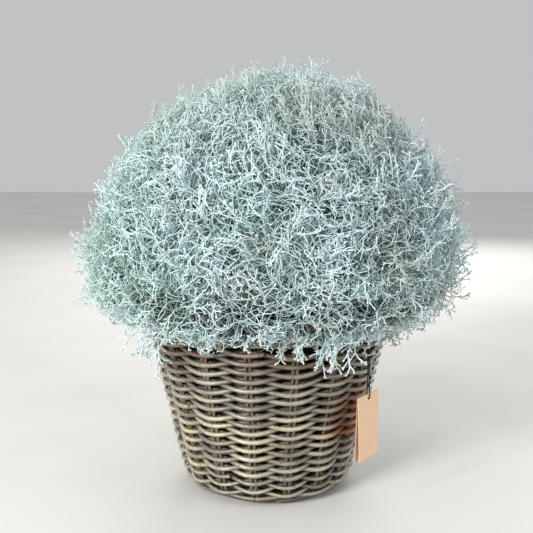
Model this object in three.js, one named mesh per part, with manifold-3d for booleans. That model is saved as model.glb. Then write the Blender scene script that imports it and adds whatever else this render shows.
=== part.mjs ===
// A potted cushion bush: a round mass of forked silvery twigs on woody stems, standing in soil in a lined,
// tapered basket of whole cane, with a folded card tag hung from one twig on a thin string.
// Millimetres, +Z up. The origin is the middle of the basket's underside, and -Y is the front.
import * as THREE from "three";
import { mergeVertices } from "three/addons/utils/BufferGeometryUtils.js";
import Module from "manifold-3d";

const wasm = await Module();
wasm.setup();

const DEGREE = Math.PI / 180;
const GAP = 0.4;                    // clearance between neighbouring pieces

// Basket wall, measured at its middle surface, between the weavers that pass in front and behind
const WALL_LEAN = 12.57 * DEGREE;   // how far the side leans outwards from upright
const CURL_RADIUS = 22;             // the side turns under at the foot in this arc
const CURL_CENTRE = { radius: 112.1, height: 33.6 };
const CURL_START = 75 * DEGREE;     // how far under the foot the weave starts
const WALL_TOP = 267;               // where the stakes end, under the rim border

// Stakes, in pairs
const STAKE_PAIRS = 16;
const FIRST_STAKE = -99.6 * DEGREE; // azimuth of the pair nearest to the front
const STAKE_ROD = 2.3;              // radius of one stake
const STAKE_SPREAD = 2.4;           // half the distance between the two stakes of a pair
const STAKE_INSET = 0.9;            // stakes stand this far inside the middle surface
const STAKE_TAIL = 8;               // the length that runs in under the foot, over the foot border

// Weavers: two strands that chase each other upwards in a double spiral
const STRANDS = 2;
const ROW_PITCH = 7.4;
const CANE = { thick: 6.4, high: 6.9 };
const FOOT_CANE = { thick: 5.6, high: 5.9 };  // the first length of each strand, round the foot
const WEAVE_THROW = 7.8;            // a weaver swings this far out and in from the middle surface
const WEAVE_START = 3.7;            // height of the first row, along the wall
const TURNS = 17.5;                 // turns of each strand
const LENGTHS = 6;                  // lengths of cane in each strand
const END_SHARE = 0.496;            // a length ends just short of halfway between two pairs of stakes

// Base and borders
const BASE_RADIUS = 107.4;
const BASE_THICK = 10;
const FOOT_BORDER = { radius: 111.7, height: 4.7, halfWide: 4.5, halfHigh: 4.5 };
const RIM_BORDER = { radius: 187.6, height: 274.3, halfWide: 11, halfHigh: 6.6 };
const ROUND_SIDES = 24;

// Liner and soil
const LINER_INSET = 11.7;           // outside of the liner, inside the middle surface
const LINER_WALL = 1.6;
const LINER_FLOOR = { radius: 92, height: BASE_THICK + GAP };
const LINER_TOP = 262;
const SOIL_TOP = 243;
const SOIL_MOUND = 4;
const STEM_DEPTH = 44;              // how far each stem stands in the soil

// Bush
const BUSH_CENTRE = new THREE.Vector3(6, 0, 365);
const BUSH_RADIUS = 308;            // of the mass of twigs, without the tips that stand proud
const LOW_HALF = 98;                // how far the flatter lower half reaches down from the centre
const LOW_POWER = 3;                // 2 for an underside as round as an egg, more for a fuller one
const CORE_INNER = 0.54;            // the core of each leafy stem, as shares of the bush's radius
const CORE_OUTER = 0.78;
const CORE_SQUARENESS = 1;          // 0 for a round core, 1 for one that fills its cell
const CORE_BUMP = 0.06;
const STEM_SIDES = 5;
const STEM_RADIUS = 4.5;
const ROOT_SHARE = 0.5;             // twigs grow from the core's faces beyond this share of its depth
const TWIG_LIMIT = 0.9;             // twigs stay in this share of their cell, so that prongs fit too
const TWIG_ROOT = 3.4;              // radius of a twig where it leaves the core
const TWIG_MIDDLE = 2.2;
const TWIG_TIP = 1.7;
const PRONG = 12;                   // how far the side prongs stand out
const PRONGS = [0, 1, 1];           // side prongs on each stretch of a twig
const DROOP = [2, 16, 34, 52];      // how far the lowest twigs hang down, bend by bend
const SEED = 27;

// Tag and string
const TAG = { wide: 60, high: 100, thick: 0.8, openAbove: 1.7, openBelow: 8.5, corner: 2, top: 186 };
const TAG_PLACE = { x: 151, y: -141, turn: 53.1 * DEGREE };
const TAG_HOLE = { height: 178.9, radius: 2.5 };
const STRING_RADIUS = 1;
const KNOT = { height: 252.4, radius: 3.3 };

const FINISH = {
  cane: { color: 0x97876f, roughness: 0.7 },
  caneRed: { color: 0x8a6a50, roughness: 0.7 },
  liner: { color: 0x15130f, roughness: 0.6 },
  soil: { color: 0x3a2c22, roughness: 0.95 },
  twig: { color: 0xb7d0ca, roughness: 0.85 },
  card: { color: 0xdcb290, roughness: 0.8 },
  string: { color: 0x141414, roughness: 0.8 },
};

// Repeatable random numbers from 0 to 1
function makeRandom(seed) {
  let state = seed;
  return () => {
    state = (state * 1664525 + 1013904223) % 4294967296;
    return state / 4294967296;
  };
}

function around(radius, azimuth, height) {
  return new THREE.Vector3(radius * Math.cos(azimuth), radius * Math.sin(azimuth), height);
}

// One closed mesh with its shared corners merged
function weld(geometry) {
  geometry.deleteAttribute("normal");
  geometry.deleteAttribute("uv");
  return mergeVertices(geometry, 1e-4);
}

function toSolid(geometry) {
  const welded = weld(geometry);
  const vertProperties = new Float32Array(welded.attributes.position.array);
  const triVerts = new Uint32Array(welded.index.array);
  return new wasm.Manifold(new wasm.Mesh({ numProp: 3, vertProperties, triVerts }));
}

function toGeometry(solid) {
  const mesh = solid.getMesh();
  const geometry = new THREE.BufferGeometry();
  geometry.setAttribute("position", new THREE.BufferAttribute(new Float32Array(mesh.vertProperties), 3));
  geometry.setIndex(new THREE.BufferAttribute(new Uint32Array(mesh.triVerts), 1));
  return geometry;
}

// A path through given points, whose section keeps one side turned to the given outward directions
class GuidedPath extends THREE.Curve {
  constructor(points, outward) {
    super();
    this.points = points;
    this.outward = outward;
  }

  getPoint(t, target = new THREE.Vector3()) {
    return target.copy(this.points[Math.round(t * (this.points.length - 1))]);
  }

  getPointAt(u, target) {
    return this.getPoint(u, target);
  }

  computeFrenetFrames() {
    const last = this.points.length - 1;
    const tangents = this.points.map((_, i) => this.points[Math.min(i + 1, last)].clone()
      .sub(this.points[Math.max(i - 1, 0)]).normalize());
    const normals = this.outward.map((out, i) => out.clone()
      .addScaledVector(tangents[i], -out.dot(tangents[i])).normalize());
    const binormals = normals.map((normal, i) => tangents[i].clone().cross(normal));
    return { tangents, normals, binormals };
  }
}

function sweep(shape, points, outward) {
  const extrudePath = new GuidedPath(points, outward);
  return new THREE.ExtrudeGeometry(shape, { steps: points.length - 1, extrudePath, bevelEnabled: false });
}

function boxShape(halfX, halfY) {
  return new THREE.Shape([new THREE.Vector2(-halfX, -halfY), new THREE.Vector2(halfX, -halfY),
    new THREE.Vector2(halfX, halfY), new THREE.Vector2(-halfX, halfY)]);
}

// A closed tube through points, round which each ring has its own radius; it may end in a point
function taperedTube(points, radii, sides) {
  const axis = points[1].clone().sub(points[0]).normalize();
  const across = new THREE.Vector3(0.31, 0.27, 0.91).cross(axis).normalize();
  const positions = [];
  points.forEach((point, i) => {
    const next = points[Math.min(i + 1, points.length - 1)];
    const ahead = next.clone().sub(points[Math.max(i - 1, 0)]).normalize();
    const side = across.clone().addScaledVector(ahead, -across.dot(ahead)).normalize();
    const other = ahead.clone().cross(side);
    for (let k = 0; k < sides; k += 1) {
      const turn = 2 * Math.PI * k / sides;
      const spot = point.clone().addScaledVector(side, radii[i] * Math.cos(turn))
        .addScaledVector(other, radii[i] * Math.sin(turn));
      positions.push(spot.x, spot.y, spot.z);
    }
  });
  const index = [];
  for (let i = 0; i < points.length - 1; i += 1) {
    for (let k = 0; k < sides; k += 1) {
      const a = i * sides + k;
      const b = i * sides + (k + 1) % sides;
      index.push(a, b, b + sides, a, b + sides, a + sides);
    }
  }
  const top = (points.length - 1) * sides;
  for (let k = 1; k < sides - 1; k += 1) {
    index.push(0, k + 1, k, top, top + k, top + k + 1);
  }
  const geometry = new THREE.BufferGeometry();
  geometry.setAttribute("position", new THREE.Float32BufferAttribute(positions, 3));
  geometry.setIndex(index);
  return geometry;
}

// The middle surface of the basket's wall, by its length up from under the foot
function wallAt(length) {
  const curl = CURL_RADIUS * (CURL_START - WALL_LEAN);
  const dip = length < curl ? CURL_START - Math.max(length, 0) / CURL_RADIUS : WALL_LEAN;
  const straight = length < 0 ? length : Math.max(0, length - curl);
  return {
    radius: CURL_CENTRE.radius + CURL_RADIUS * Math.cos(dip) + straight * Math.sin(dip),
    height: CURL_CENTRE.height - CURL_RADIUS * Math.sin(dip) + straight * Math.cos(dip),
    dip,
  };
}

function lengthAtHeight(height) {
  const curl = CURL_RADIUS * (CURL_START - WALL_LEAN);
  return curl + (height - wallAt(curl).height) / Math.cos(WALL_LEAN);
}

// A point of the wall, moved out along the wall's normal, and that normal
function wallSpot(length, azimuth, out) {
  const { radius, height, dip } = wallAt(length);
  const normal = around(Math.cos(dip), azimuth, -Math.sin(dip));
  return { point: around(radius, azimuth, height).addScaledVector(normal, out), normal };
}

function stakeAzimuth(step) {
  return FIRST_STAKE + step * 2 * Math.PI / STAKE_PAIRS;
}

function makeStakePair(number) {
  const corners = [];
  for (const side of [1, -1]) {
    for (const turn of [-125, -45, 45, 125]) {
      const angle = turn * DEGREE;
      corners.push(new THREE.Vector2(side * STAKE_ROD * Math.sin(angle),
        side * (STAKE_SPREAD + STAKE_ROD * Math.cos(angle))));
    }
  }
  const shape = new THREE.Shape(corners);
  const curl = CURL_RADIUS * (CURL_START - WALL_LEAN);
  const stops = [-STAKE_TAIL, 0, curl / 2, curl, lengthAtHeight(WALL_TOP)];
  const spots = stops.map((length) => wallSpot(length, stakeAzimuth(number), -STAKE_INSET));
  return sweep(shape, spots.map((spot) => spot.point), spots.map((spot) => spot.normal));
}

// One length of cane: a strand runs in front of every second pair of stakes and behind the others
function makeWeaver(strand, lengthNumber) {
  const steps = TURNS * STAKE_PAIRS;
  const first = Math.round(steps * lengthNumber / LENGTHS) + 0.5;
  const last = Math.round(steps * (lengthNumber + 1) / LENGTHS) + 0.5;
  const lag = strand * STAKE_PAIRS / 2;
  const spotAt = (step) => {
    const side = Math.cos((step + strand) * Math.PI);
    const length = WEAVE_START + STRANDS * ROW_PITCH * step / STAKE_PAIRS;
    return wallSpot(length, stakeAzimuth(step + lag + STAKE_PAIRS / 2), side * WEAVE_THROW);
  };
  const spots = [];
  for (let step = Math.ceil(first); step < last; step += 1) {
    spots.push(spotAt(step));
  }
  const between = (a, b, share) => ({
    point: a.point.clone().lerp(b.point, share),
    normal: a.normal.clone().lerp(b.normal, share),
  });
  spots.unshift(between(spots[0], spotAt(Math.ceil(first) - 1), END_SHARE));
  spots.push(between(spots[spots.length - 1], spotAt(Math.ceil(last)), END_SHARE));
  const cane = lengthNumber === 0 ? FOOT_CANE : CANE;
  const section = boxShape(cane.thick / 2, cane.high / 2);
  return sweep(section, spots.map((spot) => spot.point), spots.map((spot) => spot.normal));
}

function makeBase() {
  const edge = [[BASE_RADIUS - 2, 0], [BASE_RADIUS, 2], [BASE_RADIUS, BASE_THICK]];
  const outline = [[0, 0], ...edge, [0, BASE_THICK]];
  return lathe(outline, ROUND_SIDES);
}

function lathe(outline, sides) {
  const points = outline.map(([radius, height]) => new THREE.Vector2(radius, height));
  return new THREE.LatheGeometry(points, sides).rotateX(Math.PI / 2);
}

// A ring of an oval section with a few sides
function makeRing({ radius, height, halfWide, halfHigh }, sides) {
  const outline = [];
  for (let k = 0; k <= sides; k += 1) {
    const turn = 2 * Math.PI * (k % sides + 0.5) / sides;
    outline.push([radius + halfWide * Math.cos(turn), height + halfHigh * Math.sin(turn)]);
  }
  return lathe(outline, ROUND_SIDES);
}

// The liner's profile, moved in by a given distance
function linerOutline(inset) {
  const stops = [lengthAtHeight(LINER_TOP), CURL_RADIUS * (CURL_START - WALL_LEAN), 12];
  const side = stops.map((length) => {
    const { radius, height, dip } = wallAt(length);
    return [radius - (LINER_INSET + inset) * Math.cos(dip), height + (LINER_INSET + inset) * Math.sin(dip)];
  });
  const lift = inset * 0.9;
  return [...side, [111 - lift, 22.4 + inset * 0.9], [LINER_FLOOR.radius - lift, LINER_FLOOR.height + inset],
    [0, LINER_FLOOR.height + inset]];
}

function makeLiner() {
  const outer = linerOutline(0).reverse();
  const inner = linerOutline(LINER_WALL);
  inner[0][1] = outer[outer.length - 1][1];
  return lathe([...outer, ...inner], ROUND_SIDES);
}

function makeSoil(stems) {
  const outline = linerOutline(LINER_WALL + GAP);
  const [topRadius, topHeight] = outline[0];
  const [lowRadius, lowHeight] = outline[1];
  const share = (SOIL_TOP - lowHeight) / (topHeight - lowHeight);
  outline[0] = [lowRadius + share * (topRadius - lowRadius), SOIL_TOP];
  outline.unshift([0, SOIL_TOP + SOIL_MOUND]);
  let soil = toSolid(lathe(outline.reverse(), ROUND_SIDES));
  for (const { foot } of stems) {
    const points = [foot.clone(), foot.clone()];
    points[0].z -= STEM_DEPTH + GAP;
    points[1].z += 20;
    const reach = (STEM_RADIUS * Math.cos(Math.PI / STEM_SIDES) + GAP) / Math.cos(Math.PI / STEM_SIDES);
    soil = soil.subtract(toSolid(taperedTube(points, [reach, reach], STEM_SIDES)));
  }
  return toGeometry(soil);
}

// The leafy stems: one on top, a ring of six round it and a ring of nine at the widest part and below.
// Each has its own cell of the ball, between two polar angles and two azimuths, and stays inside it.
const RINGS = [
  { count: 1, from: 0, to: 30, foot: 0, density: 1 },
  { count: 6, from: 30, to: 62, foot: 48, density: 0.7 },
  { count: 9, from: 62, to: 111, foot: 104, density: 0.9 },
];
const LOWEST_RING = 9;
const TAG_AZIMUTH = Math.atan2(TAG_PLACE.y, TAG_PLACE.x - BUSH_CENTRE.x);
const CELL_MARGIN = 5.5;            // a cell's pieces stay this far inside its borders

function listStems() {
  const stems = [];
  for (const ring of RINGS) {
    for (let k = 0; k < ring.count; k += 1) {
      const azimuth = TAG_AZIMUTH + k * 2 * Math.PI / ring.count;
      stems.push({
        ring,
        azimuth,
        halfAzimuth: Math.PI / ring.count,
        polar: (ring.from + ring.to) / 2 * DEGREE,
        halfPolar: (ring.to - ring.from) / 2 * DEGREE,
        foot: around(ring.foot, azimuth + (ring.count === 6 ? 0.12 : 0), SOIL_TOP),
        holdsTag: ring.count === 9 && k === 0,
        isTop: ring.count === 1,
      });
    }
  }
  return stems;
}

// A point of a cell: across and along run from -1 to 1, reach is the distance from the bush's centre
function cellPoint(stem, across, along, reach) {
  let polar = 0;
  let azimuth = 0;
  if (stem.isTop) {
    polar = Math.min(1, Math.hypot(across, along)) * (2 * stem.halfPolar - CELL_MARGIN / reach);
    azimuth = Math.atan2(along, across);
  } else {
    polar = stem.polar + along * (stem.halfPolar - CELL_MARGIN / reach);
    azimuth = stem.azimuth + across * (stem.halfAzimuth - CELL_MARGIN / (reach * Math.sin(polar)));
  }
  const flat = Math.sin(polar);
  const low = Math.max(0, -Math.cos(polar)) * BUSH_RADIUS / LOW_HALF;
  const squash = low > 0 ? (flat ** LOW_POWER + low ** LOW_POWER) ** (-1 / LOW_POWER) : 1;
  return around(flat, azimuth, Math.cos(polar)).multiplyScalar(reach * squash).add(BUSH_CENTRE);
}

// A bumpy clump that fills the inside of a cell, and the twigs that grow out of its outer faces
function makeTwiggyCore(stem, random) {
  const ball = weld(new THREE.IcosahedronGeometry(1, 1));
  const spots = ball.attributes.position;
  const corner = new THREE.Vector3();
  const places = [];
  for (let i = 0; i < spots.count; i += 1) {
    corner.fromBufferAttribute(spots, i);
    const largest = Math.max(Math.abs(corner.x), Math.abs(corner.y), Math.abs(corner.z));
    corner.multiplyScalar(largest ** -CORE_SQUARENESS);
    const bump = 1 + CORE_BUMP * (random() - 0.5);
    const share = (corner.z + 1) / 2;
    places.push({
      across: stem.isTop ? corner.x : -corner.x,
      along: corner.y,
      reach: (CORE_INNER + (CORE_OUTER - CORE_INNER) * share) * bump,
      share,
    });
  }
  const points = places.map((place) => cellPoint(stem, place.across, place.along, place.reach * BUSH_RADIUS));
  const faces = [];
  for (let f = 0; f < ball.index.count; f += 3) {
    const face = [ball.index.getX(f), ball.index.getX(f + 1), ball.index.getX(f + 2)];
    const shares = face.map((i) => places[i].share);
    if (Math.min(...shares) > ROOT_SHARE && random() < stem.ring.density) {
      growTwig(stem, face, places, points, faces, random);
    } else {
      faces.push(face);
    }
  }
  const geometry = new THREE.BufferGeometry();
  const positions = points.flatMap((spot) => spot.toArray());
  geometry.setAttribute("position", new THREE.Float32BufferAttribute(positions, 3));
  geometry.setIndex(faces.flat());
  return geometry;
}

// One curved twig with a side prong, grown from a face: it swings sideways, and droops low on the ball
function growTwig(stem, face, places, points, faces, random) {
  const mean = (key) => (places[face[0]][key] + places[face[1]][key] + places[face[2]][key]) / 3;
  const across = mean("across");
  const along = mean("along");
  const limit = (value) => Math.max(-TWIG_LIMIT, Math.min(TWIG_LIMIT, value));
  const swing = 0.26 * Math.sin(3 * stem.azimuth + 2.2 * along) + 0.14 * (random() - 0.5);
  const rise = -0.12 + 0.2 * Math.sin(4 * stem.azimuth + 2 * across) + 0.12 * (random() - 0.5);
  const low = stem.ring.count === LOWEST_RING ? Math.max(0, along) : 0;
  const tip = 1.01 + 0.075 * random();
  const bends = [[0.83, 0.15, TWIG_ROOT], [0.93, 0.65, TWIG_MIDDLE], [0.99, 1, TWIG_TIP], [tip, 0.8, 0]];
  const path = bends.map(([reach, share], i) => {
    const sideways = limit(across + swing * share);
    const spot = cellPoint(stem, sideways, limit(along + rise * share), reach * BUSH_RADIUS);
    spot.z -= low * DROOP[i];
    return spot;
  });
  const start = face.map((i) => points[i].clone());
  const centre = start[0].clone().add(start[1]).add(start[2]).divideScalar(3);
  let ring = face;
  for (let i = 0; i < 3; i += 1) {
    const ahead = path[i + 1].clone().sub(i === 0 ? centre : path[i - 1]).normalize();
    const next = start.map((spot) => {
      const side = spot.clone().sub(centre);
      side.addScaledVector(ahead, -side.dot(ahead)).setLength(bends[i][2]);
      points.push(path[i].clone().add(side));
      return points.length - 1;
    });
    const first = Math.floor(random() * 3);
    for (let k = 0; k < 3; k += 1) {
      const quad = [ring[k], ring[(k + 1) % 3], next[(k + 1) % 3], next[k]];
      if ((k - first + 3) % 3 < PRONGS[i]) {
        addProng(quad, path[i - 1], path[i], points, faces);
      } else {
        faces.push([quad[0], quad[1], quad[2]], [quad[0], quad[2], quad[3]]);
      }
    }
    ring = next;
  }
  points.push(path[3]);
  const end = points.length - 1;
  faces.push([ring[0], ring[1], end], [ring[1], ring[2], end], [ring[2], ring[0], end]);
}

// A side prong, drawn out from one side of a twig between two of its bends
function addProng(quad, below, above, points, faces) {
  const outer = points[quad[2]].clone().add(points[quad[3]]).multiplyScalar(0.5);
  const outwards = outer.sub(above).setLength(PRONG);
  const apex = above.clone().lerp(below, -0.25).add(outwards);
  points.push(apex);
  const end = points.length - 1;
  quad.forEach((corner, k) => faces.push([corner, quad[(k + 1) % 4], end]));
}

// The twig that the tag hangs from: over the rim and straight down to the knot
function makeTagTwig() {
  const azimuth = Math.atan2(TAG_PLACE.y, TAG_PLACE.x);
  const radius = Math.hypot(TAG_PLACE.y, TAG_PLACE.x);
  const end = KNOT.height + KNOT.radius + GAP;
  const spots = [around(radius - 30, azimuth, end + 62), around(radius - 5, azimuth, end + 32),
    around(radius, azimuth, end + 14), around(radius, azimuth, end)];
  return taperedTube(spots, [TWIG_ROOT * 1.2, TWIG_ROOT, TWIG_ROOT, TWIG_ROOT * 0.9], STEM_SIDES);
}

function makeStem(stem) {
  const low = stem.foot.clone().setZ(stem.foot.z - STEM_DEPTH);
  const high = stem.foot.clone().setZ(stem.foot.z + 12);
  const into = cellPoint(stem, 0, 0, BUSH_RADIUS * (CORE_INNER + 0.07));
  const middle = high.clone().lerp(into, 0.45);
  middle.z += stem.isTop ? 0 : 12;
  const radii = [STEM_RADIUS, STEM_RADIUS, STEM_RADIUS * 0.9, STEM_RADIUS * 0.8];
  return taperedTube([low, high, middle, into], radii, STEM_SIDES);
}

function makeLeafyStem(stem, random) {
  const pieces = [makeTwiggyCore(stem, random), makeStem(stem)];
  if (stem.holdsTag) {
    pieces.push(makeTagTwig());
  }
  const solids = pieces.map((piece) => toSolid(piece));
  return toGeometry(solids.reduce((whole, solid) => whole.add(solid)));
}

// A folded card: two leaves from a fold at the far edge, held together at the top and spread below
function makeTag() {
  const { wide, high, thick, openAbove, openBelow, corner } = TAG;
  const shape = new THREE.Shape([
    new THREE.Vector2(wide / 2, -thick),
    new THREE.Vector2(wide / 2, thick),
    new THREE.Vector2(-wide / 2, openAbove / 2 + thick / 2),
    new THREE.Vector2(-wide / 2, openAbove / 2 - thick / 2),
    new THREE.Vector2(wide / 2 - 6, 0),
    new THREE.Vector2(-wide / 2, -openAbove / 2 + thick / 2),
    new THREE.Vector2(-wide / 2, -openAbove / 2 - thick / 2),
  ]);
  const card = new THREE.ExtrudeGeometry(shape, { depth: high, steps: 4, bevelEnabled: false });
  const spots = card.attributes.position;
  for (let i = 0; i < spots.count; i += 1) {
    const fromFold = 0.5 - spots.getX(i) / wide;
    const below = 1 - spots.getZ(i) / high;
    const spread = (openBelow - openAbove) / 2 * fromFold * below ** 1.3;
    spots.setY(i, spots.getY(i) + Math.sign(spots.getY(i)) * spread);
  }
  const face = new THREE.Shape();
  face.absarc(wide / 2 - corner, high - corner, corner, 0, Math.PI / 2);
  face.absarc(corner - wide / 2, high - corner, corner, Math.PI / 2, Math.PI);
  face.absarc(corner - wide / 2, corner, corner, Math.PI, 1.5 * Math.PI);
  face.absarc(wide / 2 - corner, corner, corner, 1.5 * Math.PI, 2 * Math.PI);
  const block = new THREE.ExtrudeGeometry(face, { depth: 30, curveSegments: 2, bevelEnabled: false });
  block.translate(0, 0, -15);
  block.rotateX(Math.PI / 2);
  const hole = new THREE.CylinderGeometry(TAG_HOLE.radius, TAG_HOLE.radius, 30, 12);
  hole.translate(0, 0, TAG_HOLE.height - TAG.top + high);
  const cut = toGeometry(toSolid(card).intersect(toSolid(block)).subtract(toSolid(hole)));
  cut.translate(0, 0, TAG.top - high);
  cut.rotateZ(TAG_PLACE.turn);
  cut.translate(TAG_PLACE.x, TAG_PLACE.y, 0);
  return cut;
}

// The string's route, chosen by hand: down from the knot in front of the tag, through its hole and up behind.
// Each point is its distance from the tag's middle, towards the front, and its height.
const STRING_ROUTE = [[1.3, 248.7], [1.3, 241], [1.3, 231], [1.3, 220], [1.45, 209], [1.8, 199], [2.35, 191],
  [2.8, 185.5], [2.9, 181.8], [2.0, 179.5], [0, 178.7], [-2.0, 179.5], [-2.9, 181.8], [-2.8, 185.5],
  [-2.35, 191], [-1.8, 199], [-1.45, 209], [-1.3, 220], [-1.3, 231], [-1.3, 241], [-1.3, 248.7]];

function tagSpot(out, height) {
  const front = TAG_PLACE.turn - Math.PI / 2;
  return new THREE.Vector3(TAG_PLACE.x + out * Math.cos(front), TAG_PLACE.y + out * Math.sin(front), height);
}

function makeString() {
  const curve = new THREE.CatmullRomCurve3(STRING_ROUTE.map(([out, height]) => tagSpot(out, height)));
  const points = curve.getPoints(30);
  const sides = 8;
  const ring = Array.from({ length: sides }, (_, k) => new THREE.Vector2(
    STRING_RADIUS * Math.cos(2 * Math.PI * k / sides), STRING_RADIUS * Math.sin(2 * Math.PI * k / sides)));
  return sweep(new THREE.Shape(ring), points, points.map(() => around(1, TAG_PLACE.turn, 0)));
}

function makeKnot() {
  return new THREE.SphereGeometry(KNOT.radius, 8, 5).rotateX(Math.PI / 2)
    .translate(TAG_PLACE.x, TAG_PLACE.y, KNOT.height);
}

const bush = new THREE.Group();

function addPiece(name, geometry, finish) {
  const welded = weld(geometry);
  welded.computeVertexNormals();
  const mesh = new THREE.Mesh(welded, new THREE.MeshStandardMaterial({ ...finish, metalness: 0 }));
  mesh.name = name;
  bush.add(mesh);
}

function twoDigits(number) {
  return String(number).padStart(2, "0");
}

addPiece("basket_base", makeBase(), FINISH.cane);
addPiece("foot_border", makeRing(FOOT_BORDER, 6), FINISH.cane);
for (let pair = 0; pair < STAKE_PAIRS; pair += 1) {
  addPiece(`stake_pair_${twoDigits(pair + 1)}`, makeStakePair(pair), FINISH.caneRed);
}
for (let strand = 0; strand < STRANDS; strand += 1) {
  for (let number = 0; number < LENGTHS; number += 1) {
    addPiece(`weaver_${twoDigits(strand * LENGTHS + number + 1)}`, makeWeaver(strand, number), FINISH.cane);
  }
}
addPiece("rim_border", makeRing(RIM_BORDER, 8), FINISH.caneRed);
addPiece("liner", makeLiner(), FINISH.liner);
const stems = listStems();
addPiece("soil", makeSoil(stems), FINISH.soil);
const random = makeRandom(SEED);
stems.forEach((stem, i) => {
  addPiece(`leafy_stem_${twoDigits(i + 1)}`, makeLeafyStem(stem, random), FINISH.twig);
});
addPiece("hang_tag", makeTag(), FINISH.card);
addPiece("tag_string", makeString(), FINISH.string);
addPiece("tag_knot", makeKnot(), FINISH.string);

export default bush;
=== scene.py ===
"""The looks of a potted cushion bush: forked silvery twigs in a lined cane basket, with a blank card tag.

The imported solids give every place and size. Each class builds the fine pieces of one sub-assembly round
them and dresses them. Metres, +Z up, and the front looks towards -Y.
"""
import logging
import math
from dataclasses import dataclass, field
from enum import Enum

import bmesh
import bpy
import numpy as np
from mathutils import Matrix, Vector


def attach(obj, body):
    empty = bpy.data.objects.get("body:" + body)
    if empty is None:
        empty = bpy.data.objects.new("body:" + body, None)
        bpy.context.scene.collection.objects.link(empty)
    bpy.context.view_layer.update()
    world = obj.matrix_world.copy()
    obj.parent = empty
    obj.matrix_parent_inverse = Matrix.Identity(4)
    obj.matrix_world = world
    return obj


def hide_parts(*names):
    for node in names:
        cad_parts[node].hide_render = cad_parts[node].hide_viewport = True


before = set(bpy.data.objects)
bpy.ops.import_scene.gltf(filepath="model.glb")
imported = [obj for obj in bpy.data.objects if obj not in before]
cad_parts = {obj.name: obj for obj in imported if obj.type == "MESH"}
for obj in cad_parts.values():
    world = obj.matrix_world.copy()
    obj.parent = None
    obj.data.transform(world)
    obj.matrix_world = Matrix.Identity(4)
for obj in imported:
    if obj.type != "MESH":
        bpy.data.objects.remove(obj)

Array = np.ndarray
Piece = bpy.types.Object
Material = bpy.types.Material
Socket = bpy.types.NodeSocket
Tint = tuple[int, int, int]
Stops = tuple[tuple[float, Tint], ...]
Range = tuple[float, float]
Spot = tuple[float, float, float]
Sizes = tuple[float, ...]

LOG = logging.getLogger("cushion_bush")
BODY = "root"
STAKE_PAIRS = 16
LEAFY_STEMS = 16
TURN = 2 * math.pi
GOLDEN_TURN = math.pi * (3 - math.sqrt(5))
TINY = 1e-9
SOIL_TOP = 0.243
TAG_PLACE = (0.151, -0.141)
TAG_TURN = math.radians(53.1)


def unit(vectors: Array) -> Array:
    """Returns the vectors at a length of one."""
    return vectors / np.maximum(np.linalg.norm(vectors, axis=-1, keepdims=True), TINY)


def around(radius: Array, azimuth: Array, height: Array) -> Array:
    """Returns points given by their distance from the upright axis, their azimuth and their height."""
    radius, azimuth, height = np.broadcast_arrays(radius, azimuth, height)
    return np.stack([radius * np.cos(azimuth), radius * np.sin(azimuth), height], axis=-1)


def along_line(points: Array) -> Array:
    """Returns each point's distance along its line, for one line or for many."""
    steps = np.linalg.norm(np.diff(points, axis=-2), axis=-1)
    return np.concatenate([np.zeros_like(steps[..., :1]), np.cumsum(steps, axis=-1)], axis=-1)


def colour(tint: Tint) -> tuple[float, float, float, float]:
    """Turns a colour as a screen shows it, from 0 to 255, into the linear one that shaders use."""
    shown = np.array(tint) / 255
    linear = np.where(shown <= 0.04045, shown / 12.92, ((shown + 0.055) / 1.055) ** 2.4)
    return (*map(float, linear), 1.0)


def smooth(points: Array, closeness: int) -> Array:
    """Draws a smooth line through points.

    Args:
        points: The points that the line passes, one a row.
        closeness: How many stretches are made between two of them.

    Returns:
        The points of the finer line.
    """
    padded = np.vstack([2 * points[0] - points[1], points, 2 * points[-1] - points[-2]])
    share = np.linspace(0, 1, closeness, endpoint=False)[:, None]
    pieces = []
    for before, start, end, after in zip(padded, padded[1:], padded[2:], padded[3:]):
        pieces.append(0.5 * (2 * start + (end - before) * share
                             + (2 * before - 5 * start + 4 * end - after) * share ** 2
                             + (3 * start - before - 3 * end + after) * share ** 3))
    return np.vstack([*pieces, points[-1:]])


def in_scene(name: str, data: bpy.types.ID) -> Piece:
    """Makes an object of some data and links it to the scene."""
    made = bpy.data.objects.new(name, data)
    bpy.context.scene.collection.objects.link(made)
    return made


def add_node(tree: bpy.types.NodeTree, kind: str, inputs: dict[int | str, object], output: int | str,
             settings: dict[str, object]) -> Socket:
    """Adds a node to a tree.

    Args:
        tree: The tree.
        kind: The node's type.
        inputs: Its inputs by name or number, each a value or another node's output.
        output: The output to hand back.
        settings: The node's own settings.

    Returns:
        That output.
    """
    node = tree.nodes.new(kind)
    for key, value in settings.items():
        setattr(node, key, value)
    for key, value in inputs.items():
        if isinstance(value, Socket):
            tree.links.new(value, node.inputs[key])
        else:
            node.inputs[key].default_value = value
    return node.outputs[output]


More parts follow.
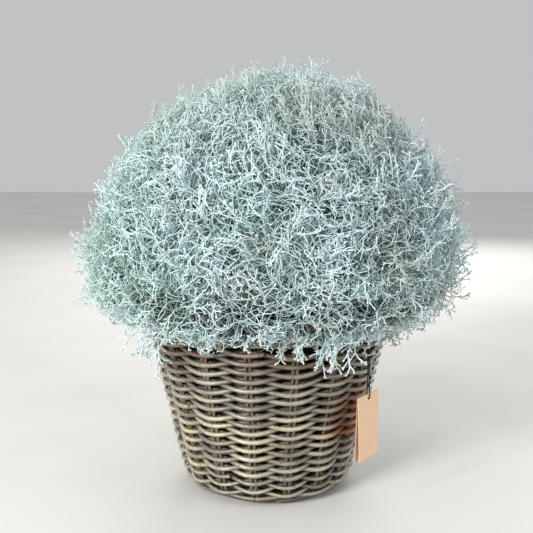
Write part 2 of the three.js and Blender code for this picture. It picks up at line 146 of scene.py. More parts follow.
class Paint:
    """Builds one procedural material, node by node."""

    def __init__(self, name: str, **fixed: float) -> None:
        """Starts a material.

        Args:
            name: The material's name.
            **fixed: Values that are the same all over, by the shader's socket, with _ for a space.
        """
        self.material = bpy.data.materials.new(name)
        self.material.use_nodes = True
        self.tree = self.material.node_tree
        self.shader = self.tree.nodes["Principled BSDF"]
        for socket, value in fixed.items():
            self.shader.inputs[socket.replace("_", " ")].default_value = value

    def put(self, kind: str, inputs: dict[int | str, object], output: int | str = 0,
            **settings: object) -> Socket:
        """Adds a shader node, named without ShaderNode in front, and returns one of its outputs."""
        return add_node(self.tree, "ShaderNode" + kind, inputs, output, settings)

    def place(self) -> Socket:
        """Returns the object's own coordinates."""
        return self.put("TexCoord", {}, "Object")

    def value(self, name: str, output: str = "Fac") -> Socket:
        """Returns what the mesh carries for each point: a number, or a vector by the output Vector."""
        return self.put("Attribute", {}, output, attribute_name=name)

    def axis(self, vector: Socket, number: int) -> Socket:
        """Returns a vector's x, y or z, by the number 0, 1 or 2."""
        return self.put("SeparateXYZ", {0: vector}, number)

    def sum(self, operation: str, *terms: object) -> Socket:
        """Returns what a Math operation makes of its terms."""
        return self.put("Math", dict(enumerate(terms)), operation=operation)

    def measure(self, operation: str, *vectors: object) -> Socket:
        """Returns the number that a Vector Math operation makes of vectors."""
        return self.put("VectorMath", dict(enumerate(vectors)), 1, operation=operation)

    def noise(self, vector: Socket, scale: float, detail: float = 3, rough: float = 0.5) -> Socket:
        """Returns a noise pattern from about 0 to 1."""
        return self.put("TexNoise", {"Vector": vector, "Scale": scale, "Detail": detail,
                                     "Roughness": rough})

    def spread(self, value: Socket, low: float, high: float, start: float = 0, end: float = 1,
               soft: bool = False) -> Socket:
        """Maps low..high of a value onto start..end, and holds it there beyond."""
        return self.put("MapRange", {0: value, 1: low, 2: high, 3: start, 4: end},
                        interpolation_type="SMOOTHSTEP" if soft else "LINEAR")

    def ramp(self, value: Socket, *stops: tuple[float, Tint]) -> Socket:
        """Lays a colour ramp over a value.

        Args:
            value: The value, from 0 to 1.
            stops: The ramp's stops, each a position and a tint.

        Returns:
            The colour.
        """
        output = self.put("ValToRGB", {0: value})
        elements = output.node.color_ramp.elements
        while len(elements) < len(stops):
            elements.new(0.5)
        for element, (position, _) in zip(elements, stops):
            element.position = position
        for element, (_, tint) in zip(elements, stops):
            element.color = colour(tint)
        return output

    def mix(self, share: Socket | float, first: Socket | Tint, second: Socket | Tint,
            blend: str = "MIX") -> Socket:
        """Blends two colours, each a node's output or a plain tint."""
        first, second = (colour(each) if isinstance(each, tuple) else each for each in (first, second))
        return self.put("Mix", {0: share, 6: first, 7: second}, 2, data_type="RGBA", blend_type=blend)

    def bump(self, height: Socket, strength: float, distance: float) -> None:
        """Gives the surface fine relief."""
        relief = {"Height": height, "Strength": strength, "Distance": distance}
        self.drive("Normal", self.put("Bump", relief, "Normal"))

    def drive(self, socket: str, source: Socket) -> None:
        """Feeds one of the shader's sockets."""
        self.tree.links.new(source, self.shader.inputs[socket])


@dataclass(frozen=True)
class TwigFinish:
    """Woolly twigs: brown at the wood, grey-green inside the bush, darker there partly as painted shade, and
    silvery mint at the tips.
    """

    # Lower values are darker: brown wood, and deeper in the bush partly painted shade.
    ages: Stops = (
        (0.0, (92, 78, 66)), (0.14, (122, 116, 112)), (0.3, (152, 179, 180)),
        (0.62, (202, 228, 230)), (1.0, (226, 244, 247)))
    green: Tint = (208, 228, 212)
    green_scale: float = 7
    # Painted light: the green grows towards the left side.
    green_side_light: float = -0.28
    green_patch: Range = (0.42, 0.68)
    green_most: float = 0.75
    green_ages: Range = (0.6, 0.93)
    green_at_tips: float = 0.35
    warm: Tint = (238, 226, 220)
    warm_scale: float = 11
    # Painted shade: the warm grey, which darkens, grows towards the right side.
    warm_side_shade: float = 0.3
    warm_patch: Range = (0.5, 0.68)
    warm_most: float = 0.7
    # Painted shade: the twigs at the top of the bush are a little darker and greyer.
    crown_shade: Tint = (241, 241, 237)
    crown_shade_heights: Range = (0.50, 0.64)
    shades: Range = (0.81, 1.06)

    def patches(self, paint: Paint, scale: float, lean: float) -> Socket:
        """Returns wide patches of the twigs' own tone, which grow towards one side as painted light and
        shade.

        Args:
            paint: The material in the making.
            scale: How close together the patches are.
            lean: How much stronger they get for each metre to the right; the lean is painted light and
                shade.

        Returns:
            The pattern.
        """
        place = paint.place()
        return paint.sum("ADD", paint.noise(place, scale, detail=2),
                         paint.sum("MULTIPLY", paint.axis(place, 0), lean))

    def material(self) -> Material:
        """Returns the material, which reads each point's age and painted depth shade, and its twig's tone.
        """
        paint = Paint("silvery felted twig", Roughness=0.85, Sheen_Weight=0.25, Sheen_Roughness=0.5)
        age = paint.value("age")
        # The patches are the twigs' own tone; their lean to one side is painted light and shade.
        greener = self.patches(paint, self.green_scale, self.green_side_light)
        greener = paint.sum("MULTIPLY", paint.spread(greener, *self.green_patch, 0, self.green_most, True),
                            paint.spread(age, *self.green_ages, 1.0, self.green_at_tips))
        tinted = paint.mix(greener, paint.ramp(age, *self.ages), self.green, "MULTIPLY")
        warmer = self.patches(paint, self.warm_scale, self.warm_side_shade)
        warmer = paint.spread(warmer, *self.warm_patch, 0, self.warm_most, True)
        tinted = paint.mix(warmer, tinted, self.warm, "MULTIPLY")
        # Painted shade, darker towards the top of the bush.
        painted_crown_shade = paint.spread(paint.axis(paint.place(), 2), *self.crown_shade_heights, 0, 1, True)
        tinted = paint.mix(painted_crown_shade, tinted, self.crown_shade, "MULTIPLY")
        shade = paint.spread(paint.value("tone"), 0, 1, *self.shades)
        grey = paint.put("CombineColor", {0: shade, 1: shade, 2: shade})
        paint.drive("Base Color", paint.mix(1.0, tinted, grey, "MULTIPLY"))
        return paint.material


@dataclass(frozen=True)
class HeartFinish:
    """The tangle inside the bush, read as crossing stems, with its shade painted in."""

    # The dark ground is painted shade between the stems deep in the bush.
    dark: Tint = (42, 53, 50)
    stem: Tint = (158, 182, 179)
    low_deeper_shade: Tint = (24, 24, 22)
    low_stem: Tint = (84, 72, 64)
    low_top: float = 0.36
    low_fade: float = 0.05
    low_most: float = 0.95
    warp_scale: float = 30.0
    warp: float = 0.03
    nets: tuple[Range, ...] = ((120.0, 1.0), (205.0, 0.75))
    line: Range = (0.05, 0.12)

    def material(self) -> Material:
        """Returns the material: two nets of pale lines on a dark ground of painted shade, with relief."""
        paint = Paint("tangled inner stems", Roughness=0.95)
        place = paint.place()
        warp = paint.put("TexNoise", {"Vector": place, "Scale": self.warp_scale, "Detail": 2.0}, 1)
        bent = paint.mix(self.warp, place, warp, "ADD")
        lines = []
        for scale, share in self.nets:
            edge = paint.put("TexVoronoi", {"Vector": bent, "Scale": scale}, 0,
                             feature="DISTANCE_TO_EDGE")
            lines.append(paint.spread(edge, *self.line, share, 0, True))
        net = paint.sum("MAXIMUM", *lines)
        # Low down: deeper painted shade, and browner stems.
        low = paint.spread(paint.axis(place, 2), self.low_top - self.low_fade, self.low_top,
                           self.low_most, 0, True)
        paint.drive("Base Color", paint.mix(net, paint.mix(low, self.dark, self.low_deeper_shade),
                                            paint.mix(low, self.stem, self.low_stem)))
        paint.bump(net, strength=0.8, distance=0.004)
        return paint.material


@dataclass(frozen=True)
class CaneFinish:
    """Weathered whole cane: streaks along it, joint rings, and a tone of its own for each length."""

    name: str
    dark: Tint = (102, 91, 77)
    grey: Tint = (160, 152, 135)
    pale: Tint = (192, 187, 167)
    yellow: Tint = (214, 199, 156)
    stops: Sizes = (0.0, 0.42, 0.78, 1.0)
    middling: Range = (0.3, 0.7)
    patch_sway: float = 0.22
    streak_sway: float = 0.16
    streak_across: float = 0.9
    streak_along: float = 16.0
    stain: Tint = (186, 108, 58)
    stain_place: Spot = (0.136, -0.104, 0.136)
    stain_reach: float = 0.070
    stain_core: float = 0.3
    stain_dry: float = 0.8
    rim_brown: Tint = (126, 96, 68)
    rim_height: float = 0.262
    rim_fade: float = 0.06
    rim_share: float = 0.4
    joint_pitch: float = 0.53
    joint_shift: float = 3.7
    joint_dark: Tint = (62, 50, 38)
    joint_pale: Tint = (196, 182, 156)
    joint_widths: Sizes = (0.002, 0.005, 0.017)
    joint_shares: Range = (0.7, 0.45)
    scuff: Tint = (178, 174, 164)
    scuff_place: Spot = (0.012, -0.138, 0.046)
    scuff_widths: Range = (0.010, 0.015)
    scuff_share: float = 0.7
    dirt: Tint = (72, 60, 48)
    dirt_range: Range = (0.5, 0.68)
    dirt_share: float = 0.5
    # Painted shade on the canes' undersides, by which way each surface faces.
    shadow: Tint = (40, 33, 26)
    shadow_range: Range = (-0.75, 0.45)
    underside_shade_share: float = 0.58
    # Painted shade with some grime: canes darken deep in the weave, where they shade each other.
    crevice_shade_and_grime_tint: Tint = (38, 30, 23)
    crevice_range: Range = (-0.002, 0.0102)
    crevice_shade_and_grime: float = 0.62
    shade_and_grime_at_rim: float = 0.2
    shade_and_grime_fade: float = 0.004
    wall_slope: float = 0.223
    wall_foot: float = 0.1272
    relief_mottle: float = 0.5
    roughness: Range = (0.46, 0.26)
    coat: float = 0.4

    def streaks(self, paint: Paint) -> Socket:
        """Makes streaks that run along each cane, by its attributes section and along.

        Args:
            paint: The material in the making.

        Returns:
            The streaks, from 0 to 1.
        """
        section = paint.value("section", "Vector")
        run = paint.sum("MULTIPLY", paint.value("along"), self.streak_along)
        sides = [paint.sum("MULTIPLY", paint.axis(section, number), self.streak_across)
                 for number in (0, 1)]
        return paint.noise(paint.put("CombineXYZ", dict(enumerate([*sides, run]))), scale=3.2, detail=4,
                           rough=0.65)

    def from_joint(self, paint: Paint) -> Socket:
        """Returns how far each place is from the cane's next joint, as a share of their pitch."""
        run = paint.sum("DIVIDE", paint.value("along"), self.joint_pitch)
        shift = paint.sum("MULTIPLY", paint.value("tone"), self.joint_shift)
        ring = paint.sum("FRACT", paint.sum("ADD", run, shift))
        return paint.sum("ABSOLUTE", paint.sum("SUBTRACT", ring, 0.5))

    def crevice_shade_and_grime_share(self, paint: Paint, height: Socket) -> Socket:
        """Returns the painted shade, with some grime, deep in the weave, by how far out each place is from
        the sloping wall.

        Args:
            paint: The material in the making.
            height: Each place's height.

        Returns:
            The share of painted shade and grime.
        """
        flat = paint.put("VectorMath", {0: paint.place(), 1: (1.0, 1.0, 0.0)}, operation="MULTIPLY")
        wall = paint.sum("MULTIPLY_ADD", height, self.wall_slope, self.wall_foot)
        out = paint.sum("SUBTRACT", paint.measure("LENGTH", flat), wall)
        below_rim = paint.spread(height, self.rim_height - self.shade_and_grime_fade,
                                 self.rim_height + self.shade_and_grime_fade, 1, self.shade_and_grime_at_rim)
        # Painted shade and grime: darker the deeper in the weave, less so at the rim.
        return paint.sum("MULTIPLY", paint.spread(out, *self.crevice_range, self.crevice_shade_and_grime, 0, True),
                         below_rim)

    def material(self) -> Material:
        """Returns the material, which follows each cane by the attributes along, section and tone."""
        paint = Paint(self.name, Specular_IOR_Level=0.55, Coat_Roughness=0.28)
        place = paint.place()
        height = paint.axis(place, 2)
        streaks = self.streaks(paint)
        patches = paint.noise(place, scale=34)
        mottle = paint.noise(place, scale=260, rough=0.6)
        tone = paint.sum("ADD", paint.value("tone"),
                         paint.spread(patches, *self.middling, -self.patch_sway, self.patch_sway))
        tone = paint.sum("ADD", tone,
                         paint.spread(streaks, *self.middling, -self.streak_sway, self.streak_sway))
        aged = paint.ramp(tone, *zip(self.stops, (self.dark, self.grey, self.pale, self.yellow)))
        stained = paint.spread(paint.measure("DISTANCE", place, self.stain_place),
                               self.stain_reach * self.stain_core, self.stain_reach, 1, 0, True)
        stained = paint.sum("MULTIPLY", stained, paint.spread(patches, low=0.35, high=0.6, start=0.4))
        browned = paint.spread(height, self.rim_height - self.rim_fade, self.rim_height,
                               0, self.rim_share, True)
        near = self.from_joint(paint)
        thin, wide, wider = self.joint_widths
        darkest, palest = self.joint_shares
        pale_ring = paint.spread(near, wide, wider, palest, 0, True)
        dark_ring = paint.spread(near, thin, wide, darkest, 0, True)
        scuffed = paint.spread(paint.measure("DISTANCE", place, self.scuff_place),
                               *self.scuff_widths, self.scuff_share, 0, True)
        dirt = paint.spread(mottle, *self.dirt_range, 0, self.dirt_share, True)
        # Painted shade: darker where the surface faces down.
        painted_underside_shade = paint.spread(paint.axis(paint.value("facing", "Vector"), 2), *self.shadow_range,
                             self.underside_shade_share, 0, True)
        # Stain, browning, joint rings, scuffs and dirt are the cane's own colours; the last two mixes are
        # painted shade, on the undersides and, with grime, deep in the weave.
        for share, tint in ((stained, self.stain), (browned, self.rim_brown), (pale_ring, self.joint_pale),
                            (dark_ring, self.joint_dark), (scuffed, self.scuff), (dirt, self.dirt),
                            (painted_underside_shade, self.shadow), (self.crevice_shade_and_grime_share(paint, height), self.crevice_shade_and_grime_tint)):
            aged = paint.mix(share, aged, tint)
        paint.drive("Base Color", aged)
        paint.drive("Roughness", paint.sum("MAXIMUM", paint.spread(streaks, *self.middling, *self.roughness),
                                           paint.spread(stained, 0, self.stain_dry, 0, self.stain_dry)))
        paint.drive("Coat Weight", paint.spread(stained, 0, self.stain_dry, self.coat, 0))
        relief = paint.sum("SUBTRACT", paint.sum("ADD", streaks, pale_ring), dark_ring)
        relief = paint.sum("ADD", relief, paint.sum("MULTIPLY", mottle, self.relief_mottle))
        paint.bump(relief, strength=0.55, distance=0.0008)
        return paint.material


@dataclass(frozen=True)
class SoilFinish:
    """Dark potting soil with paler fibres in it."""

    crumbs: Stops = ((0.3, (34, 24, 18)), (0.55, (62, 46, 34)), (0.75, (96, 76, 56)))
    fibre: Tint = (150, 126, 96)

    def material(self) -> Material:
        """Returns the material."""
        paint = Paint("potting soil", Roughness=0.95)
        place = paint.place()
        crumbs = paint.noise(place, scale=210, detail=5, rough=0.7)
        specks = paint.spread(paint.noise(place, scale=520, detail=2), low=0.66, high=0.72, end=0.7)
        paint.drive("Base Color", paint.mix(specks, paint.ramp(crumbs, *self.crumbs), self.fibre))
        paint.bump(crumbs, strength=0.9, distance=0.003)
        return paint.material


@dataclass(frozen=True)
class LinerFinish:
    """Thin black film that lines the basket."""

    shades: Stops = ((0.3, (14, 13, 12)), (0.7, (34, 31, 28)))

    def material(self) -> Material:
        """Returns the material, creased a little."""
        paint = Paint("black liner film", Roughness=0.5)
        creases = paint.noise(paint.place(), scale=42, detail=4, rough=0.6)
        paint.drive("Base Color", paint.ramp(creases, *self.shades))
        paint.bump(creases, strength=0.6, distance=0.004)
        return paint.material


@dataclass(frozen=True)
class CardFinish:
    """Kraft card with fine fibres and specks. The leaf behind gets painted shade, as if shaded by the one in
    front.
    """

    fibres: Stops = (
        (0.25, (220, 178, 144)), (0.5, (247, 209, 176)), (0.8, (246, 216, 188)))
    cloud: Tint = (226, 184, 150)
    speck: Tint = (164, 118, 88)
    shaded: Tint = (104, 78, 58)
    leaf_gap: Range = (-0.0016, -0.0006)
    fibre_stretch: Spot = (1.0, 1.0, 0.35)

    def material(self) -> Material:
        """Returns the material."""
        paint = Paint("kraft card", Roughness=0.82)
        place = paint.place()
        drawn = paint.put("Mapping", {"Vector": place, "Scale": self.fibre_stretch})
        fibres = paint.noise(drawn, scale=1500, rough=0.7)
        cloud = paint.spread(paint.noise(place, scale=60), low=0.4, high=0.65, end=0.25)
        tint = paint.mix(cloud, paint.ramp(fibres, *self.fibres), self.cloud)
        specks = paint.spread(paint.noise(place, scale=620, detail=2), low=0.64, high=0.70, end=0.5)
        tint = paint.mix(specks, tint, self.speck)
        front = (math.sin(TAG_TURN), -math.cos(TAG_TURN), 0.0)
        middle = TAG_PLACE[0] * front[0] + TAG_PLACE[1] * front[1]
        out = paint.sum("SUBTRACT", paint.measure("DOT_PRODUCT", place, front), middle)
        # Painted shade on the leaf behind the card's middle.
        back_leaf_shade = paint.spread(out, *self.leaf_gap, start=0.2, end=0)
        paint.drive("Base Color", paint.mix(back_leaf_shade, tint, self.shaded))
        paint.bump(fibres, strength=0.25, distance=0.0002)
        return paint.material


@dataclass(frozen=True)
class ThreadFinish:
    """Black waxed thread with its twist."""

    twist: float = 0.0032
    twist_scale: float = 0.31
    twist_sway: float = 0.6
    shades: Stops = ((0.2, (9, 9, 10)), (0.9, (27, 26, 27)))

    def material(self) -> Material:
        """Returns the material; the twist runs aslant through the object's coordinates."""
        paint = Paint("black thread", Roughness=0.7)
        wave = paint.put("TexWave", {"Vector": paint.place(), "Scale": self.twist_scale / self.twist,
                                     "Distortion": self.twist_sway}, bands_direction="DIAGONAL")
        paint.drive("Base Color", paint.ramp(wave, *self.shades))
        paint.bump(wave, strength=0.7, distance=0.0004)
        return paint.material


@dataclass
class Lines:
    """Lines that become round rods, with the values that each of their points carries."""

    blocks: list[dict[str, Array]] = field(default_factory=list)

    def add(self, points: Array, girth: Array | float, age: Array | float = 1.0, tone: Array | float = 0.5,
            owner: Array | int = 0, along: Array | None = None) -> None:
        """Adds lines of equally many points.

        Args:
            points: The places, as lines by points by three.
            girth: The rods' radius at each point.
            age: From 0 at the wood to 1 at the tips; lower, so darker, deep inside the bush, partly as
                painted shade.
            tone: Each line's own shade, from 0 to 1, or a shade for each point.
            owner: The number of the piece that each line belongs to.
            along: Each point's distance along its rod; worked out from the points if left out.
        """
        count, length = points.shape[:2]
        tone = np.asarray(tone, float)
        values = {"girth": girth, "age": age, "tone": tone[:, None] if tone.ndim == 1 else tone,
                  "along": along_line(points) if along is None else along}
        spread = {name: np.broadcast_to(np.asarray(value, float), (count, length))
                  for name, value in values.items()}
        self.blocks.append({"points": points, "owner": np.broadcast_to(owner, (count,)), **spread})

    def add_one(self, path: Array, girth: Array | float, tone: Array | float = 0.5,
                **values: Array | float) -> None:
        """Adds a single line; its girth and its tone may change along it."""
        self.add(path[None], girth, tone=np.broadcast_to(tone, (1, len(path))), **values)

    def mesh(self, name: str, owner: int = 0) -> bpy.types.Mesh:
        """Makes a mesh of edges from one piece's lines.

        Args:
            name: The mesh's name.
            owner: The piece's number.

        Returns:
            The mesh, with girth, age, tone and along on its points.
        """
        picked = [(block, block["owner"] == owner) for block in self.blocks]
        places, edges, total = [], [], 0
        for block, mask in picked:
            points = block["points"][mask]
            count, length = points.shape[:2]
            first = total + np.arange(count)[:, None] * length + np.arange(length - 1)
            edges.append(np.stack([first, first + 1], axis=-1).reshape(-1, 2))
            places.append(points.reshape(-1, 3))
            total += count * length
        mesh = bpy.data.meshes.new(name)
        mesh.from_pydata(np.concatenate(places), np.concatenate(edges), [])
        for key in ("girth", "age", "tone", "along"):
            values = np.concatenate([block[key][mask].ravel() for block, mask in picked])
            mesh.attributes.new(key, "FLOAT", "POINT").data.foreach_set("value", values.astype(np.float32))
        return mesh


class NodeMaker:
    """A Geometry Nodes tree with named inputs, whose result on a piece becomes plain mesh."""

    def __init__(self, name: str, inputs: dict[str, str]) -> None:
        """Starts the tree.

        Args:
            name: The tree's name.
            inputs: The kind of each of its named inputs.
        """
        self.tree = bpy.data.node_groups.new(name, "GeometryNodeTree")
        self.sockets = {}
        for label, kind in inputs.items():
            socket = self.tree.interface.new_socket(name=label, in_out="INPUT",
                                                    socket_type="NodeSocket" + kind)
            self.sockets[label] = socket.identifier
        self.tree.interface.new_socket(name="Made", in_out="OUTPUT", socket_type="NodeSocketGeometry")
        self.start = self.tree.nodes.new("NodeGroupInput").outputs

    def put(self, kind: str, inputs: dict[int | str, object], output: int | str = 0,
            **settings: object) -> Socket:
        """Adds a node, by its full type, and returns one of its outputs."""
        return add_node(self.tree, kind, inputs, output, settings)

    def mark(self, geometry: Socket, name: str, value: Socket) -> Socket:
        """Stores a vector on each point under a name."""
        inputs = {"Geometry": geometry, "Name": name, "Value": value}
        return self.put("GeometryNodeStoreNamedAttribute", inputs, data_type="FLOAT_VECTOR", domain="POINT")

    def dress(self, geometry: Socket, label: str) -> Socket:
        """Gives a geometry the material of a named input."""
        return self.put("GeometryNodeSetMaterial", {"Geometry": geometry, "Material": self.start[label]})

    def join(self, *parts: Socket) -> Socket:
        """Joins geometries into one."""
        node = self.tree.nodes.new("GeometryNodeJoinGeometry")
        for part in parts:
            self.tree.links.new(part, node.inputs[0])
        return node.outputs[0]

    def close(self, geometry: Socket) -> None:
        """Makes a geometry the tree's result."""
        self.tree.links.new(geometry, self.tree.nodes.new("NodeGroupOutput").inputs[0])

    def apply(self, piece: Piece, values: dict[str, object]) -> None:
        """Runs the tree on a piece, keeps the result as its mesh and removes the modifier.

        Args:
            piece: The piece.
            values: What each named input gets.
        """
        modifier = piece.modifiers.new("nodes", "NODES")
        modifier.node_group = self.tree
        for label, value in values.items():
            modifier[self.sockets[label]] = value
        depsgraph = bpy.context.evaluated_depsgraph_get()
        made = bpy.data.meshes.new_from_object(piece.evaluated_get(depsgraph), depsgraph=depsgraph)
        piece.modifiers.remove(modifier)
        piece.data = made
        made.name = piece.name


class RodMaker(NodeMaker):
    """Turns lines into round rods and adds a plain mesh to them."""

    def __init__(self) -> None:
        """Builds the tree."""
        super().__init__("rods along lines", {"Lines": "Geometry", "Sides": "Int", "Core": "Object",
                                              "Finish": "Material", "Core finish": "Material"})
        curve = self.put("GeometryNodeMeshToCurve", {"Mesh": self.start["Lines"]})
        girth = self.put("GeometryNodeInputNamedAttribute", {"Name": "girth"})
        ring = self.put("GeometryNodeCurvePrimitiveCircle",
                        {"Resolution": self.start["Sides"], "Radius": 1.0})
        ring = self.mark(ring, "section", self.put("GeometryNodeInputPosition", {}))
        rods = self.put("GeometryNodeCurveToMesh", {"Curve": curve, "Profile Curve": ring, "Scale": girth,
                                                    "Fill Caps": True})
        # The normals, which the cane finish reads to paint shade on the undersides.
        rods = self.mark(rods, "facing", self.put("GeometryNodeInputNormal", {}))
        core = self.put("GeometryNodeObjectInfo", {"Object": self.start["Core"]}, "Geometry")
        both = self.join(self.dress(rods, "Finish"), self.dress(core, "Core finish"))
        shaded = self.put("GeometryNodeSetShadeSmooth", {"Geometry": both})
        self.close(self.put("GeometryNodeRealizeInstances", {"Geometry": shaded}))

    def make(self, lines: bpy.types.Mesh, sides: int, finish: Material, core: Piece | None = None,
             core_finish: Material | None = None) -> Piece:
        """Makes one piece.

        Args:
            lines: The mesh of edges.
            sides: How many sides each rod has.
            finish: The rods' material.
            core: A mesh object that is joined to the rods, and then removed.
            core_finish: The core's material.

        Returns:
            A plain mesh object, with no modifier left on it.
        """
        piece = in_scene(lines.name, lines)
        values = {"Sides": sides, "Finish": finish}
        if core is None:
            self.apply(piece, values)
        else:
            self.apply(piece, {**values, "Core": core, "Core finish": core_finish})
            bpy.data.objects.remove(core)
        return piece


class Strewer(NodeMaker):
    """Strews small chips over the top of a piece, which is about a tenth of a square metre."""

    grounds_in_metre: float = 10.0
    turns: Spot = (0.5, 0.5, TURN)
    scales: Range = (0.5, 1.5)

    def __init__(self, lowest: float) -> None:
        """Builds the tree.

        Args:
            lowest: Chips lie only above this height.
        """
        super().__init__("bark on soil", {"Ground": "Geometry", "Chips": "Int", "Seed": "Int",
                                          "Chip": "Vector", "Finish": "Material"})
        ground, seed = self.start["Ground"], self.start["Seed"]
        place = self.put("GeometryNodeInputPosition", {})
        height = self.put("ShaderNodeSeparateXYZ", {0: place}, 2)
        above = self.put("FunctionNodeCompare", {0: height, 1: lowest})
        density = self.put("ShaderNodeMath", {0: self.start["Chips"], 1: self.grounds_in_metre},
                           operation="MULTIPLY")
        spots = self.put("GeometryNodeDistributePointsOnFaces",
                         {"Mesh": ground, "Selection": above, "Density": density, "Seed": seed}, "Points")
        turn = self.put("FunctionNodeRandomValue", {1: self.turns, "Seed": seed},
                        data_type="FLOAT_VECTOR")
        least, most = self.scales
        scale = self.put("FunctionNodeRandomValue", {2: least, 3: most, "Seed": seed}, 1)
        chip = self.put("GeometryNodeMeshCube", {"Size": self.start["Chip"]}, "Mesh")
        chips = self.put("GeometryNodeInstanceOnPoints",
                         {"Points": spots, "Instance": chip, "Rotation": turn, "Scale": scale})
        real = self.put("GeometryNodeRealizeInstances", {"Geometry": self.join(ground, chips)})
        self.close(self.dress(real, "Finish"))


def mesh_object(name: str, points: Array, faces: list | Array, finish: Material | None = None,
                soft: bool = True) -> Piece:
    """Makes an object from points and faces.

    Args:
        name: Its name.
        points: The places of its corners.
        faces: The corners of each face.
        finish: Its material.
        soft: Whether it is shaded smooth.

    Returns:
        The object.
    """
    mesh = bpy.data.meshes.new(name)
    mesh.from_pydata(points, [], faces)
    mesh.validate()
    if soft:
        mesh.shade_smooth()
    if finish is not None:
        mesh.materials.append(finish)
    return in_scene(name, mesh)


def size_of(piece: Piece) -> str:
    """Says how many triangles a piece has, or that it is a curve."""
    if piece.type == "CURVE":
        return "a curve"
    return f"{sum(len(face.vertices) - 2 for face in piece.data.polygons)} triangles"


def settle(piece: Piece, nodes: list[str]) -> None:
    """Lets a finished piece ride on the body, in the place of its CAD nodes, and reports it."""
    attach(piece, BODY)
    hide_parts(*nodes)
    LOG.info("%s: %s, stands for %s", piece.name, size_of(piece), ", ".join(nodes))


@dataclass(frozen=True)
class Wall:
    """The middle surface of the basket's wall, by its length up from under the foot."""

    lean: float = math.radians(12.57)
    curl_radius: float = 0.022
    curl_out: float = 0.1121
    curl_up: float = 0.0336
    curl_start: float = math.radians(75)

    @property
    def curl(self) -> float:
        """The length of the arc that turns under at the foot."""
        return self.curl_radius * (self.curl_start - self.lean)

    def at(self, length: Array) -> tuple[Array, Array, Array]:
        """Follows the wall.

        Args:
            length: Lengths up the wall, from where its curl starts under the foot.

        Returns:
            The radius, the height and the dip there.
        """
        length = np.asarray(length, float)
        curled = self.curl_start - np.maximum(length, 0) / self.curl_radius
        dip = np.where(length < self.curl, curled, self.lean)
        straight = np.where(length < 0, length, np.maximum(0, length - self.curl))
        radius = self.curl_out + self.curl_radius * np.cos(dip) + straight * np.sin(dip)
        height = self.curl_up - self.curl_radius * np.sin(dip) + straight * np.cos(dip)
        return radius, height, dip

    def length_at(self, height: float) -> float:
        """Returns the length at which the wall reaches a height."""
        return self.curl + (height - float(self.at(self.curl)[1])) / math.cos(self.lean)

    def spots(self, length: Array, azimuth: Array, out: Array) -> Array:
        """Returns points of the wall, moved outwards along its normal."""
        radius, height, dip = self.at(length)
        return around(radius + out * np.cos(dip), azimuth, height - out * np.sin(dip))


@dataclass(frozen=True)
class Border:
    """A border of the basket: rods of one thickness, wound round each other in a ring."""

    name: str
    node: str
    slot: str
    radius: float
    height: float
    half_wide: float
    half_high: float
    count: int
    twists: int
    rod: float


